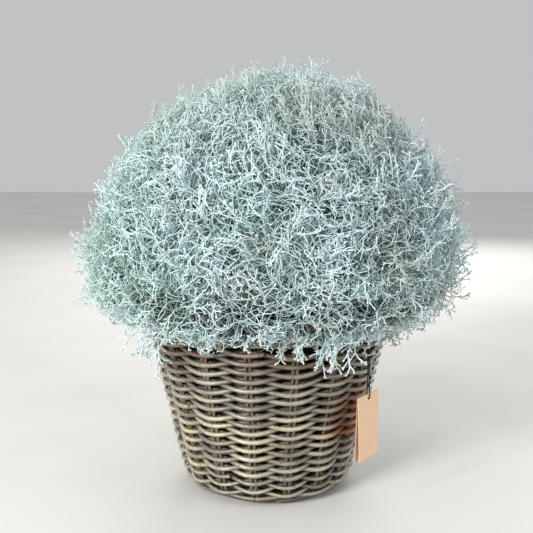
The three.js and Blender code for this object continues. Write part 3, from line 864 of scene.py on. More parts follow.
@dataclass
class Basket:
    """The cane basket: its base, stakes, weavers and borders."""

    rods: RodMaker
    wall: Wall = Wall()
    first_stake: float = math.radians(-99.6)
    stake_radius: float = 0.0026
    stake_spread: float = 0.0034
    stake_inset: float = 0.0009
    stake_tail: float = 0.004
    stake_drift: float = 0.0005
    drift_start: float = -0.01
    drift_points: int = 6
    stake_foot_points: int = 6
    stake_wall_points: int = 14
    stake_tones: Range = (0.55, 0.18)
    stake_tone_limits: Range = (0.1, 0.95)
    wall_top: float = 0.267
    strands: int = 2
    row_pitch: float = 0.0074
    weave_start: float = 0.0037
    weave_throw: float = 0.0064
    weave_sag: float = 0.0031
    weave_sway: float = 0.0007
    foot_out: float = 0.0064
    foot_steps: Sizes = (0, 11, 20)
    foot_throws: Sizes = (0.15, 0.3, 1.0)
    turns: float = 17.5
    lengths: int = 6
    cane_radius: float = 0.00365
    cane_swell: float = 0.05
    cane_limits: Range = (0.9, 1.04)
    swell_steps: int = 3
    foot_cane_radius: float = 0.0030
    weaver_canes: Range = (0.35, 1.3)
    border_canes: Range = (0.2, 0.6)
    border_steps: tuple[int, int] = (16, 73)
    border_shift: float = 1.1
    base_canes: Range = (0.3, 0.8)
    cane_tones: Range = (0.5, 0.24)
    cane_tone_limits: Range = (0.05, 1.0)
    belt_heights: Sizes = (0.02, 0.06, 0.11, 0.17, 0.24)
    belt_tones: Sizes = (0.05, -0.12, 0.12, 0.08, -0.15)
    closeness: int = 6
    sides: int = 8
    base_radius: float = 0.1074
    base_thick: float = 0.010
    base_spoke: float = 0.0021
    base_rod: float = 0.0024
    base_pitch: float = 2.06
    base_closeness: int = 3
    base_sides: int = 6
    base_start: float = 0.012
    base_margin: float = 0.016
    spoke_margin: float = 0.003
    spoke_points: int = 9
    spoke_tones: Range = (0.35, 0.3)
    borders: tuple[Border, ...] = (
        Border("rim_plait", "rim_border", "stake_cane", radius=0.1876, height=0.2743, half_wide=0.0110,
               half_high=0.0066, count=5, twists=9, rod=0.0031),
        Border("foot_twist", "foot_border", "cane", radius=0.1117, height=0.0047, half_wide=0.0051,
               half_high=0.0045, count=4, twists=3, rod=0.0024))
    seed: int = 5

    def __post_init__(self) -> None:
        """Makes the finishes."""
        self.random = np.random.default_rng(self.seed)
        self.cane = CaneFinish("weathered cane").material()
        # The stakes get none of the painted crevice shade and grime.
        self.stake_cane = CaneFinish("stake cane", dark=(84, 74, 60), grey=(142, 130, 110),
                                     pale=(168, 156, 134), yellow=(184, 170, 142), crevice_shade_and_grime=0.0).material()

    def stake_azimuth(self, step: Array) -> Array:
        """Returns the azimuth of a pair of stakes, or of a place between two pairs."""
        return self.first_stake + np.asarray(step) * TURN / STAKE_PAIRS

    def tones(self, along: Array, shortest: float, longest: float) -> Array:
        """Gives each natural length of cane its own tone.

        Args:
            along: Distances along one strand.
            shortest: The shortest natural length.
            longest: The longest one.

        Returns:
            A tone for each distance.
        """
        joints = np.cumsum(self.random.uniform(shortest, longest, int(along[-1] / shortest) + 2))
        shades = self.random.normal(*self.cane_tones, len(joints) + 1)
        shades = np.clip(shades, *self.cane_tone_limits)
        return shades[np.searchsorted(joints, along)]

    def build_weavers(self) -> None:
        """Weaves both strands, each in its lengths of cane, in front of and behind the stakes in turn."""
        steps = int(self.turns * STAKE_PAIRS)
        fine = np.arange(0, steps + 2, 1 / self.closeness)
        lively = np.interp(fine, self.foot_steps, self.foot_throws)
        ends = [round(steps * number / self.lengths) + 0.5 for number in range(self.lengths + 1)]
        for strand in range(self.strands):
            side = np.cos((fine + strand) * math.pi)
            length = self.weave_start + 2 * self.row_pitch * fine / STAKE_PAIRS
            azimuth = self.stake_azimuth(fine + strand * STAKE_PAIRS / 2 + STAKE_PAIRS / 2)
            sway = self.weave_sway * np.interp(fine, np.arange(steps + 3),
                                               self.random.normal(0, 1, steps + 3))
            out = side * self.weave_throw * lively + (1 - lively) * self.foot_out
            path = self.wall.spots(length + sway - side * self.weave_sag * lively, azimuth, out)
            along = along_line(path)
            belt = np.interp(path[:, 2], self.belt_heights, self.belt_tones)
            tone = np.clip(self.tones(along, *self.weaver_canes) + belt, 0, 1)
            knots = np.arange(steps // self.swell_steps + 2) * self.swell_steps
            swell = 1 + self.cane_swell * np.interp(fine, knots, self.random.normal(0, 1, len(knots)))
            for number, (first, last) in enumerate(zip(ends, ends[1:])):
                mine = (fine > first) & (fine < last)
                radius = self.foot_cane_radius if number == 0 else self.cane_radius
                lines = Lines()
                lines.add_one(path[mine], radius * np.clip(swell[mine], *self.cane_limits), tone[mine],
                              along=along[mine])
                index = strand * self.lengths + number + 1
                piece = self.rods.make(lines.mesh(f"cane_weaver_{index:02d}"), self.sides, self.cane)
                settle(piece, [f"weaver_{index:02d}"])

    def build_stakes(self) -> None:
        """Sets two rods for each pair of stakes, from under the foot up into the rim."""
        top = self.wall.length_at(self.wall_top)
        length = np.concatenate([[-self.stake_tail], np.linspace(0, self.wall.curl, self.stake_foot_points),
                                 np.linspace(self.wall.curl, top, self.stake_wall_points)[1:]])
        drift_knots = np.linspace(self.drift_start, top, self.drift_points)
        for pair in range(STAKE_PAIRS):
            lines = Lines()
            for side in (-1, 1):
                radius = self.wall.at(length)[0]
                drift = self.stake_drift * np.interp(length, drift_knots,
                                                     self.random.normal(0, 1, self.drift_points))
                azimuth = self.stake_azimuth(pair) + (side * self.stake_spread + drift) / radius
                path = self.wall.spots(length, azimuth, np.full_like(length, -self.stake_inset))
                shade = float(np.clip(self.random.normal(*self.stake_tones), *self.stake_tone_limits))
                lines.add_one(path, self.stake_radius, shade)
            piece = self.rods.make(lines.mesh(f"cane_stakes_{pair + 1:02d}"), self.sides, self.stake_cane)
            settle(piece, [f"stake_pair_{pair + 1:02d}"])

    def build_border(self, border: Border) -> None:
        """Winds a border's rods round each other in a ring.

        Args:
            border: The border.
        """
        lines = Lines()
        for_each, for_all = self.border_steps
        azimuth = np.linspace(0, TURN, for_each * border.twists + for_all)
        along = np.linspace(0, TURN * border.radius, len(azimuth))
        for number in range(border.count):
            turn = azimuth * border.twists + number * TURN / border.count
            out = (border.half_wide - border.rod) * np.cos(turn)
            up = (border.half_high - border.rod) * np.sin(turn)
            path = around(border.radius + out, azimuth + number * self.border_shift, border.height + up)
            path[-1] = path[0]
            lines.add_one(path, border.rod, self.tones(along, *self.border_canes), along=along)
        piece = self.rods.make(lines.mesh(border.name), self.sides, self.cane)
        settle(piece, [border.node])

    def build_base(self) -> None:
        """Weaves the base: a star of thin sticks, with one cane going round and round them."""
        lines = Lines()
        spokes = STAKE_PAIRS // 2
        middle = self.base_thick / 2
        darkest, sway = self.spoke_tones
        for number in range(spokes):
            reach = np.linspace(-1, 1, self.spoke_points) * (self.base_radius - self.spoke_margin)
            path = around(reach, self.stake_azimuth(number + 0.5), middle)
            lines.add_one(path, self.base_spoke, darkest + sway * self.random.random())
        rod, pitch = self.base_rod, self.base_pitch * self.base_rod
        laps = int((self.base_radius - self.base_margin) / pitch)
        each_lap = spokes * 2 * self.base_closeness
        step = np.arange(0, laps * each_lap + 1) / each_lap
        wave = np.cos(step * spokes * TURN / 2 + math.pi * np.floor(step)) * rod
        path = around(np.minimum(self.base_start + pitch * step, self.base_radius - rod),
                      self.stake_azimuth(step * STAKE_PAIRS), middle + wave)
        along = along_line(path)
        lines.add_one(path, rod, self.tones(along, *self.base_canes), along=along)
        piece = self.rods.make(lines.mesh("base_weave"), self.base_sides, self.cane)
        settle(piece, ["basket_base"])

    def build(self) -> None:
        """Builds the whole basket."""
        self.build_weavers()
        self.build_stakes()
        for border in self.borders:
            self.build_border(border)
        self.build_base()


def lathe(name: str, outline: Array, sides: int, finish: Material, sway: float = 0.0, folds: int = 0,
          seed: int = 0, waves: int = 3, wave_gap: int = 5, calm_height: float = 0.1) -> Piece:
    """Turns an outline round the upright axis into a closed shell.

    Args:
        name: The piece's name.
        outline: Radius and height, from the axis round to the axis again, anticlockwise.
        sides: How many steps it takes.
        finish: The material.
        sway: How deep its folds go inwards; less so near its foot.
        folds: About how many folds there are.
        seed: For the folds' places.
        waves: How many waves the folds are made of.
        wave_gap: How many more folds each wave has than the last one.
        calm_height: The height from which the folds are at their deepest.

    Returns:
        The object.
    """
    azimuth = np.linspace(0, TURN, sides, endpoint=False)
    random = np.random.default_rng(seed)
    inward = np.zeros(sides)
    for number in range(waves):
        wave = np.sin(azimuth * (folds + number * wave_gap) + random.uniform(0, TURN))
        inward += (1 + wave) / (2 * waves)
    points = [np.array([[0, 0, outline[0][1]]])]
    for radius, height in outline[1:-1]:
        points.append(around(radius - sway * inward * min(1, height / calm_height), azimuth, height))
    points.append(np.array([[0, 0, outline[-1][1]]]))
    ring = np.arange(sides)
    ahead = (ring + 1) % sides
    rows = len(outline) - 2
    faces = [[0, 1 + b, 1 + a] for a, b in zip(ring, ahead)]
    for row in range(rows - 1):
        low, high = 1 + row * sides, 1 + (row + 1) * sides
        faces += [[low + a, low + b, high + b, high + a] for a, b in zip(ring, ahead)]
    last = 1 + rows * sides
    faces += [[last - sides + a, last - sides + b, last] for a, b in zip(ring, ahead)]
    return mesh_object(name, np.concatenate(points), faces, finish)


@dataclass
class Filling:
    """What fills the basket: the liner film and the soil, with bark strewn on it."""

    wall: Wall = Wall()
    inset: float = 0.0117
    film: float = 0.0016
    foot_length: float = 0.012
    foot_corner: Range = (0.111, 0.0224)
    foot_share: float = 0.9
    floor_radius: float = 0.092
    floor_height: float = 0.0104
    liner_top: float = 0.262
    fold_depth: float = 0.003
    folds: int = 17
    soil_top: float = SOIL_TOP
    soil_back: float = 0.003
    soil_rings: int = 24
    crumbled: float = 0.99
    crumb: float = 0.002
    crumb_slack: float = 1e-6
    mound: float = 0.004
    gap: float = 0.0004
    sides: int = 72
    bark: int = 360
    bark_chip: Spot = (0.011, 0.006, 0.0022)
    bark_depth: float = 0.001
    seed: int = 11

    def outline(self, inset: float) -> Array:
        """Draws the liner's profile from its top down to the axis.

        Args:
            inset: How far inside the film's outer face it runs.

        Returns:
            The profile's radii and heights.
        """
        stops = [self.wall.length_at(self.liner_top), self.wall.curl, self.foot_length]
        radius, height, dip = self.wall.at(np.array(stops))
        back = self.inset + inset
        side = np.stack([radius - back * np.cos(dip), height + back * np.sin(dip)], axis=1)
        lift = inset * self.foot_share
        floor = self.floor_height + inset
        foot = [[self.foot_corner[0] - lift, self.foot_corner[1] + lift], [self.floor_radius - lift, floor],
                [0, floor]]
        return np.vstack([side, foot])

    def build_liner(self) -> None:
        """Makes the film with soft folds."""
        outer = self.outline(0)
        inner = self.outline(self.film)
        inner[0, 1] = outer[0, 1]
        piece = lathe("liner_film", np.vstack([outer[::-1], inner]), self.sides, LinerFinish().material(),
                      self.fold_depth, self.folds, self.seed)
        settle(piece, ["liner"])

    def build_soil(self) -> None:
        """Makes the soil with a crumbled top, and strews bark on it by Geometry Nodes."""
        outline = self.outline(self.film + self.gap + self.soil_back)
        (top_radius, top_height), (low_radius, low_height) = outline[0], outline[1]
        share = (self.soil_top - low_height) / (top_height - low_height)
        edge = low_radius + share * (top_radius - low_radius)
        rings = np.linspace(1, 0, self.soil_rings)[:-1] * edge
        top = np.stack([rings, self.soil_top + self.mound * (1 - (rings / edge) ** 2)], axis=1)
        profile = np.vstack([outline[1:][::-1], top, [[0, self.soil_top + self.mound]]])
        finish = SoilFinish().material()
        piece = lathe("soil_crumbs", profile, self.sides, finish)
        random = np.random.default_rng(self.seed)
        mesh = piece.data
        places = np.empty(len(mesh.vertices) * 3)
        mesh.vertices.foreach_get("co", places)
        places = places.reshape(-1, 3)
        inside = np.hypot(places[:, 0], places[:, 1]) < edge * self.crumbled
        inside &= places[:, 2] >= self.soil_top - self.crumb_slack
        places[inside, 2] += random.uniform(-self.crumb, self.crumb, inside.sum())
        mesh.vertices.foreach_set("co", places.ravel())
        mesh.update()
        Strewer(self.soil_top - self.bark_depth).apply(
            piece, {"Chips": self.bark, "Seed": self.seed, "Chip": self.bark_chip, "Finish": finish})
        settle(piece, ["soil"])

    def build(self) -> None:
        """Builds the liner and the soil."""
        self.build_liner()
        self.build_soil()


@dataclass
class BushShape:
    """The outline of the bush: a ball on a flatter underside, with swells and slow lumps."""

    centre: Spot = (0.006, 0.0, 0.365)
    radius: float = 0.313
    low_half: float = 0.104
    low_power: float = 3.0
    lump: float = 0.008
    lump_scale: float = 0.35
    swells: tuple[Sizes, ...] = (
        (-0.99, -0.05, -0.14, 0.036), (0.96, -0.05, -0.27, 0.028), (0.97, 0.0, 0.22, 0.032),
        (0.48, -0.05, 0.87, 0.040), (-0.08, -0.05, 0.99, -0.022), (-0.10, 0.97, -0.20, 0.030))
    swell_width: float = 0.05
    lean: float = 0.035
    lowest: float = math.radians(120)
    scatter: float = 0.6
    wave_count: int = 6
    wave_scale: float = 20
    lump_waves: int = 3
    rise: float = 1.6
    rise_from: float = 0.45
    seed: int = 27

    def __post_init__(self) -> None:
        """Prepares the random draws and the waves that the lumps and the swirls follow."""
        self.random = np.random.default_rng(self.seed)
        self.middle = np.array(self.centre)
        self.waves = self.random.normal(0, 1, (self.wave_count, 3)) * self.wave_scale
        self.wave_starts = self.random.uniform(0, TURN, self.wave_count)
        self.wave_ways = unit(self.random.normal(0, 1, (self.wave_count, 3)))

    def shell(self, ways: Array) -> Array:
        """Measures the bush.

        Args:
            ways: Unit directions from its centre.

        Returns:
            How far its surface is along each.
        """
        flat = np.hypot(ways[..., 0], ways[..., 1])
        low = np.maximum(-ways[..., 2], 0) * self.radius / self.low_half
        power = self.low_power
        plain = np.where(ways[..., 2] > 0, 1.0, (flat ** power + low ** power) ** (-1 / power))
        waves, starts = self.waves[:self.lump_waves], self.wave_starts[:self.lump_waves]
        lumps = np.sin(ways @ (waves * self.lump_scale).T + starts).sum(axis=-1)
        leaning = ways @ np.array([self.lean, 0.0, 0.0]) * np.maximum(ways[..., 2], 0)
        swells = sum(swell * np.exp((ways @ unit(np.array(way)) - 1) / self.swell_width)
                     for *way, swell in self.swells)
        return self.radius * plain * (1 + self.lump * lumps + leaning + swells)

    def reach(self, points: Array) -> Array:
        """Returns how far out points are, as a share of the bush's surface."""
        away = points - self.middle
        distance = np.linalg.norm(away, axis=-1)
        return distance / self.shell(away / np.maximum(distance, TINY)[..., None])

    def directions(self, count: int, lowest: float) -> Array:
        """Spreads directions evenly over the ball, from the top down to a lowest polar angle."""
        number = np.arange(count) + 0.5
        height = 1 - number / count * (1 - math.cos(lowest))
        ways = around(np.sqrt(1 - height ** 2), number * GOLDEN_TURN, height)
        return unit(ways + self.random.normal(0, self.scatter / math.sqrt(count), ways.shape))

    def from_shell(self, ways: Array, shares: Range) -> Array:
        """Returns a starting point in each direction, between two shares of the bush's surface."""
        depth = self.shell(ways) * self.random.uniform(*shares, len(ways))
        return self.middle + ways * depth[:, None]

    def set_out(self, ways: Array, outward: Range) -> Array:
        """Returns a heading for each direction: along the bush's surface, and more outwards at the top."""
        aside = unit(np.cross(ways, unit(self.random.normal(0, 1, ways.shape))))
        rise = self.rise * np.clip(ways[:, 2:] - self.rise_from, 0, 1)
        return unit(ways * (self.random.uniform(*outward, (len(ways), 1)) + rise) + aside)


@dataclass
class TwigGrowth(BushShape):
    """How twigs grow in the bush: what draws them, how they swirl, curl and fork, and how they age and
    darken with painted shade deep inside.

    A line's own heading turns towards the sum of all that draws it, fully so over one turn_length.
    """

    turn_length: float = 0.026
    look_ahead: float = 0.012
    slack: float = 0.05
    pull_limits: Range = (-3.0, 1.1)
    lift: float = 0.16
    lift_above: float = 0.35
    lift_below: float = 1.5
    lift_crown: float = 0.6
    lift_proud: float = 9.0
    proud_from: float = 0.93
    crown_from: float = 0.5
    crown_span: float = 0.35
    crown_sunk: float = 0.022
    crown_calm: float = 0.5
    swirl: float = 0.7
    drift: float = 0.2
    curl_sway: float = 0.25
    rim_reach: float = 0.203
    rim_slack: float = 0.012
    rim_push: float = 2.0
    hook: float = 2.1
    hook_swing: Range = (2.2, 0.9)
    hang: float = 0.8
    fork_side: Spot = (0.31, 0.52, 0.79)
    fork_turn: float = 2.4
    fork_turn_sway: float = 0.4
    fork_lean_sway: float = 0.3
    # The value rises from inside the bush out to its surface: the twigs' ageing, partly painted depth shade.
    age_and_shade_inside: float = 0.3
    age_and_shade_gain: float = 0.65
    age_and_shade_reach: Range = (0.80, 0.14)
    age_and_shade_most: float = 0.96
    age_and_shade_hanging: float = 0.9
    # Browner and darker low down inside: the old wood's brown, with painted shade under the bush.
    brown_and_shade_below: float = 0.355
    brown_and_shade_height: float = 0.05
    brown_and_shade_reach: float = 0.915
    brown_and_shade_depth: float = 0.06
    brown_and_shade_share: float = 0.8

    def crown_share(self, up: Array) -> Array:
        """Returns how near the crown directions point, from 0 to 1, by their upward parts."""
        return np.clip((up - self.crown_from) / self.crown_span, 0, 1)

    def steer_held(self, here: Array, heading: Array, goal: Array, swing: Array) -> Array:
        """Draws lines to the bush's surface and lets them swirl along it.

        Args:
            here: Where each line is.
            heading: Which way it runs.
            goal: How far out it would be, as a share of the bush's surface.
            swing: The swirls' strengths at each place.

        Returns:
            The pull on each line.
        """
        outward = unit(here - self.middle)
        up = outward[:, 2:]
        topmost = self.crown_share(up)
        held = goal - self.crown_sunk * topmost[:, 0]
        ahead = self.reach(here + heading * self.look_ahead)
        pull = np.clip((held - ahead) / self.slack, *self.pull_limits)[:, None]
        lift = np.where(up > 0, self.lift_above * up + self.lift + self.lift_crown * topmost,
                        self.lift_below * up + self.lift) * np.array([0, 0, 1.0])
        lift = lift + np.maximum(goal - self.proud_from, 0)[:, None] * np.array([0, 0, self.lift_proud])
        spin = swing[:, :1] + swing[:, 1:2]
        return outward * pull + lift + np.cross(outward, heading) * spin * self.swirl

    def steer_hanging(self, here: Array, share: float) -> Array:
        """Draws lines down and sideways, first one way and then the other, and out from the basket.

        Args:
            here: Where each line is.
            share: How far along they are, from 0 to 1.

        Returns:
            The pull on each line.
        """
        flat = here * np.array([1.0, 1.0, 0.0])
        away = np.linalg.norm(flat, axis=1, keepdims=True)
        later, sooner = self.hook_swing
        aside = np.cross([0, 0, 1.0], flat / away) * self.hook * (later * share - sooner)
        clear = np.clip((self.rim_reach - away) / self.rim_slack, 0, self.rim_push)
        return flat / away * clear + aside - np.array([0, 0, self.hang])

    def walk(self, start: Array, heading: Array, strides: list[float], hold: Array | None,
             lean_out: Array | Sizes, restless: float) -> tuple[Array, Array]:
        """Lets lines grow step by step, held near the bush's surface or hanging down.

        Args:
            start: Where each line starts.
            heading: Which way it sets out.
            strides: The length of each step.
            hold: How far out each line would stay, as a share of the bush's surface; None if they hang.
            lean_out: How much further out than that it would be at each step.
            restless: How strongly each line curls its own way.

        Returns:
            The lines' points, and each point's heading.
        """
        count = len(start)
        points = np.empty((count, len(strides) + 1, 3))
        headings = np.empty_like(points)
        points[:, 0], headings[:, 0] = start, heading
        curl = unit(self.random.normal(0, 1, (count, 3)))
        for step, stride in enumerate(strides):
            here = points[:, step]
            swing = np.sin(here @ self.waves.T + self.wave_starts)
            if hold is None:
                drawn = self.steer_hanging(here, step / len(strides))
            else:
                drawn = self.steer_held(here, heading, hold + lean_out[step], swing)
            calm = 1 - self.crown_calm * self.crown_share(unit(here - self.middle)[:, 2:])
            steer = drawn + swing @ self.wave_ways * self.drift + np.cross(curl, heading) * restless * calm
            heading = unit(heading + steer * stride / self.turn_length)
            curl = unit(curl + self.random.normal(0, self.curl_sway, (count, 3)))
            points[:, step + 1] = here + heading * stride
            headings[:, step + 1] = heading
        return points, headings

    def fork(self, points: Array, headings: Array, nodes: list[int], spread: float) -> tuple[Array, Array]:
        """Finds where side shoots leave their parents, and which way they head.

        Args:
            points: The parents' points.
            headings: The parents' headings.
            nodes: The points that have a side shoot.
            spread: The angle between a shoot and its parent.

        Returns:
            The shoots' starts and headings, parents by nodes.
        """
        along = headings[:, nodes]
        aside = unit(np.cross(along, np.array(self.fork_side)))
        other = np.cross(along, aside)
        shape = (len(points), len(nodes))
        turn = (self.random.uniform(0, TURN, (len(points), 1)) + np.arange(len(nodes)) * self.fork_turn
                + self.random.normal(0, self.fork_turn_sway, shape))[..., None]
        lean = (spread + self.random.normal(0, self.fork_lean_sway, shape))[..., None]
        heading = along * np.cos(lean) + (aside * np.cos(turn) + other * np.sin(turn)) * np.sin(lean)
        return points[:, nodes].reshape(-1, 3), unit(heading).reshape(-1, 3)

    def age_and_shade_at(self, points: Array, oldest: float, hanging: bool = False) -> Array:
        """Returns the age and painted shade of points: younger and paler further out, and older, browner and
        in deeper painted shade low down inside.

        Args:
            points: The points.
            oldest: The least value of age and shade.
            hanging: Whether they belong to sprays that hang over the rim, which are pale all along.

        Returns:
            Their values of age and painted shade.
        """
        if hanging:
            return np.full(points.shape[:-1], self.age_and_shade_hanging)
        reach = self.reach(points)
        inside, span = self.age_and_shade_reach
        # Painted shade with brown: darker low down inside, under the bush.
        low = np.clip((self.brown_and_shade_below - points[..., 2]) / self.brown_and_shade_height, 0, 1)
        low = low * np.clip((self.brown_and_shade_reach - reach) / self.brown_and_shade_depth, 0, 1)
        # Painted shade with the twigs' own ageing: darker the deeper inside the bush.
        age = np.clip(self.age_and_shade_inside + self.age_and_shade_gain * (reach - inside) / span, oldest, self.age_and_shade_most)
        return age * (1 - self.brown_and_shade_share * low)


class Ring(Enum):
    """The rings of leafy stems: how many stems each has, and its first stem's number."""

    TOP = (1, 1)
    UPPER = (6, 2)
    LOWER = (9, 8)


@dataclass(frozen=True)
class Layer:
    """A layer of twigs; start and hold are shares of the way from the bush's middle to its surface."""

    count: int
    start: Range
    hold: Range
    outward: Range
    stride: float
    strides: int
    restless: float


@dataclass
class Bush(TwigGrowth):
    """The mass of twigs on their woody stems, each leafy stem in its own cell of the ball."""

    borders: Sizes = (math.radians(30), math.radians(62), math.radians(111))
    sprays: Layer = Layer(1640, start=(0.79, 0.88), hold=(0.86, 0.918), outward=(0.1, 0.8),
                          stride=0.0076, strides=7, restless=1.0)
    arcs: Layer = Layer(11000, start=(0.80, 0.89), hold=(0.835, 0.915), outward=(0.0, 0.4),
                        stride=0.0102, strides=5, restless=2.0)
    undergrowth: Layer = Layer(700, start=(0.72, 0.82), hold=(0.79, 0.87), outward=(0.3, 0.3),
                               stride=0.012, strides=5, restless=1.2)
    twig_sides: int = 3
    twig_radius: float = 0.00094
    shoot_radius: float = 0.00079
    club_radius: float = 0.00114
    arc_radius: float = 0.00066
    spray_tones: Range = (0.6, 0.22)
    arc_tones: Range = (0.5, 0.25)
    arc_ageing: float = 0.04
    oldest_twig: float = 0.2
    oldest_shoot: float = 0.25
    oldest_prong: float = 0.3
    tip_strides: int = 3
    tip_out: float = 0.03
    first_shoot: int = 2
    shoot_restless: float = 0.2
    shoot_strides: Sizes = (0.7, 0.7, 0.5)
    shoot_out: Sizes = (0.0, 0.03, 0.04)
    shoot_taper: Sizes = (1.0, 0.97, 0.94)
    shoot_angle: float = 0.7
    prong_nodes: tuple[int, ...] = (3, 5)
    shoot_prong: int = 2
    prong_angle: float = 0.8
    prong_lengths: Range = (0.0022, 0.0048)
    prong_ages: Range = (0.0, 0.08)
    under_sway: float = 0.7
    under_ages: Range = (0.25, 0.62)
    under_tones: Range = (0.45, 0.25)
    tufts: int = 86
    tuft_sprays: int = 3
    tuft_lowest: float = 0.9
    tuft_spread: float = 0.035
    tuft_outward: float = 1.6
    tuft_sway: float = 0.4
    tuft_rarity: float = 1.5
    tuft_start: Range = (0.84, 0.89)
    tuft_hold: float = 0.94
    tuft_proud: float = 0.11
    tuft_stout: float = 0.98
    tuft_restless: float = 0.8
    fringe_height: float = 0.296
    fringe_out: float = 0.012
    fringe_drop: float = 0.048
    fringe_shortest: float = 0.2
    fringe_power: float = 0.75
    fringe_spread: float = 0.04
    fringe_out_sway: Range = (-0.008, 0.014)
    fringe_up_sway: Range = (-0.008, 0.008)
    fringe_way: Range = (0.5, -0.3)
    fringe_way_sway: float = 0.35
    fringe_stout: float = 1.4
    fringe_restless: float = 0.6
    fringe: tuple[tuple[float, float, int], ...] = (
        (-60, 0.058, 10), (-80, 0.028, 5), (-133, 0.066, 8), (-30, 0.032, 6), (-115, 0.018, 2),
        (-100, 0.014, 3), (-45, 0.016, 4), (-124, 0.016, 3), (-8, 0.022, 4), (14, 0.046, 6),
        (41, 0.024, 4), (67, 0.055, 7), (96, 0.028, 4), (118, 0.018, 3), (139, 0.050, 6),
        (166, 0.026, 4), (-178, 0.036, 5))
    tag_twig_end: float = 0.2561
    tag_twig_girth: Range = (0.0022, 0.0016)
    tag_twig_course: tuple[Range, ...] = ((-0.030, 0.062), (-0.005, 0.032), (0.0, 0.014), (0.0, 0.0))
    tag_twig_tone: float = 0.7
    tag_twig_age: float = 0.6
    loop_tone: float = 1.0
    loop_age: float = 0.95
    tag_loop: tuple[Spot, ...] = (
        (0.0004, -0.0012, 0.0035), (-0.0042, -0.0026, 0.0018), (-0.0071, -0.0034, -0.0032),
        (-0.0052, -0.0040, -0.0078), (-0.0004, -0.0044, -0.0093), (0.0044, -0.0040, -0.0072),
        (0.0092, -0.0034, -0.0066), (0.0128, -0.0040, -0.0092))
    loop_nodes: tuple[int, ...] = (5, 9, 13, 21)
    loop_prongs: tuple[Spot, ...] = (
        (-0.0036, -0.0010, 0.0010), (-0.0034, -0.0010, -0.0022), (-0.0012, -0.0012, -0.0040),
        (0.0012, -0.0008, 0.0040))
    feet: Sizes = (0.0, 0.048, 0.104)
    upper_turn: float = 0.12
    soil_top: float = SOIL_TOP
    stem_depth: float = 0.044
    stem_radius: float = 0.0045
    stem_taper: float = 0.7
    stem_knots: Sizes = (0.12, 0.8, 1.1)
    stem_tone: float = 0.5
    stem_age: float = 0.04
    stem_rise: float = 0.012
    stem_bend: float = 0.45
    stem_reach: float = 0.66
    heart_inside: float = 0.5
    heart_share: float = 0.77
    heart_tuck: float = 0.12
    heart_low: float = 0.35
    heart_margin: float = 0.004
    heart_squareness: float = 0.92
    heart_bump: float = 0.008
    heart_bump_scale: float = 3.1

    def __post_init__(self) -> None:
        """Prepares the random draws, the lines and the finishes."""
        super().__post_init__()
        self.tag_azimuth = math.atan2(TAG_PLACE[1] - self.centre[1], TAG_PLACE[0] - self.centre[0])
        self.lines = Lines()
        self.twig = TwigFinish().material()
        self.heart = HeartFinish().material()

    def owner_of(self, ways: Array) -> Array:
        """Finds the leafy stem whose cell holds each direction.

        Args:
            ways: Unit directions from the bush's centre.

        Returns:
            The stems' numbers.
        """
        polar = np.arccos(np.clip(ways[:, 2], -1, 1))
        turn = np.arctan2(ways[:, 1], ways[:, 0]) - self.tag_azimuth
        owner = np.full(len(ways), Ring.TOP.value[1])
        for ring, start in ((Ring.UPPER, self.borders[0]), (Ring.LOWER, self.borders[1])):
            count, first = ring.value
            cell = np.round(turn / TURN * count).astype(int) % count
            owner = np.where(polar >= start, first + cell, owner)
        return owner

    def tones_of(self, count: int, tones: Range) -> Array:
        """Returns a random tone for each of many lines, by the usual tone and its sway."""
        return np.clip(self.random.normal(*tones, count), 0, 1)

    def grow_sprays(self, start: Array, heading: Array, hold: Array | None, stout: float = 1.0,
                    restless: float = 1.0, stretch: float = 1.0) -> None:
        """Grows sprays: a curved main twig with forked side shoots and short prongs.

        Args:
            start: Where each spray starts.
            heading: Which way it sets out.
            hold: How far out it would stay, as a share of the bush's surface; None if they hang.
            stout: How thick they are, against the usual.
            restless: How strongly each curls its own way.
            stretch: How long they are, against the usual.
        """
        count, strides = len(start), self.sprays.strides
        stride = stretch * self.sprays.stride
        hanging = hold is None
        lean_out = np.where(np.arange(strides) >= strides - self.tip_strides, self.tip_out, 0.0)
        points, headings = self.walk(start, heading, [stride] * strides, hold, lean_out, restless)
        owner = self.owner_of(unit(start - self.middle))
        tone = self.tones_of(count, self.spray_tones)
        girth = self.twig_radius + (self.shoot_radius - self.twig_radius) * np.linspace(0, 1, strides + 1)
        self.lines.add(points, girth * stout, self.age_and_shade_at(points, self.oldest_twig, hanging), tone, owner)
        nodes = list(range(self.first_shoot, strides))
        roots, leads = self.fork(points, headings, nodes, self.shoot_angle)
        again = np.repeat(np.arange(count), len(nodes))
        steps = [stride * share for share in self.shoot_strides]
        still = None if hanging else hold[again]
        shoots, shoot_heads = self.walk(roots, leads, steps, still, self.shoot_out,
                                        restless + self.shoot_restless)
        girth = np.array([*self.shoot_taper, self.club_radius / self.shoot_radius]) * self.shoot_radius
        age = self.age_and_shade_at(shoots, self.oldest_shoot, hanging)
        self.lines.add(shoots, girth * stout, age, tone[again], owner[again])
        self.add_prongs(points, headings, [*self.prong_nodes, strides], tone, owner, stout, hanging)
        self.add_prongs(shoots, shoot_heads, [self.shoot_prong], tone[again], owner[again], stout, hanging)

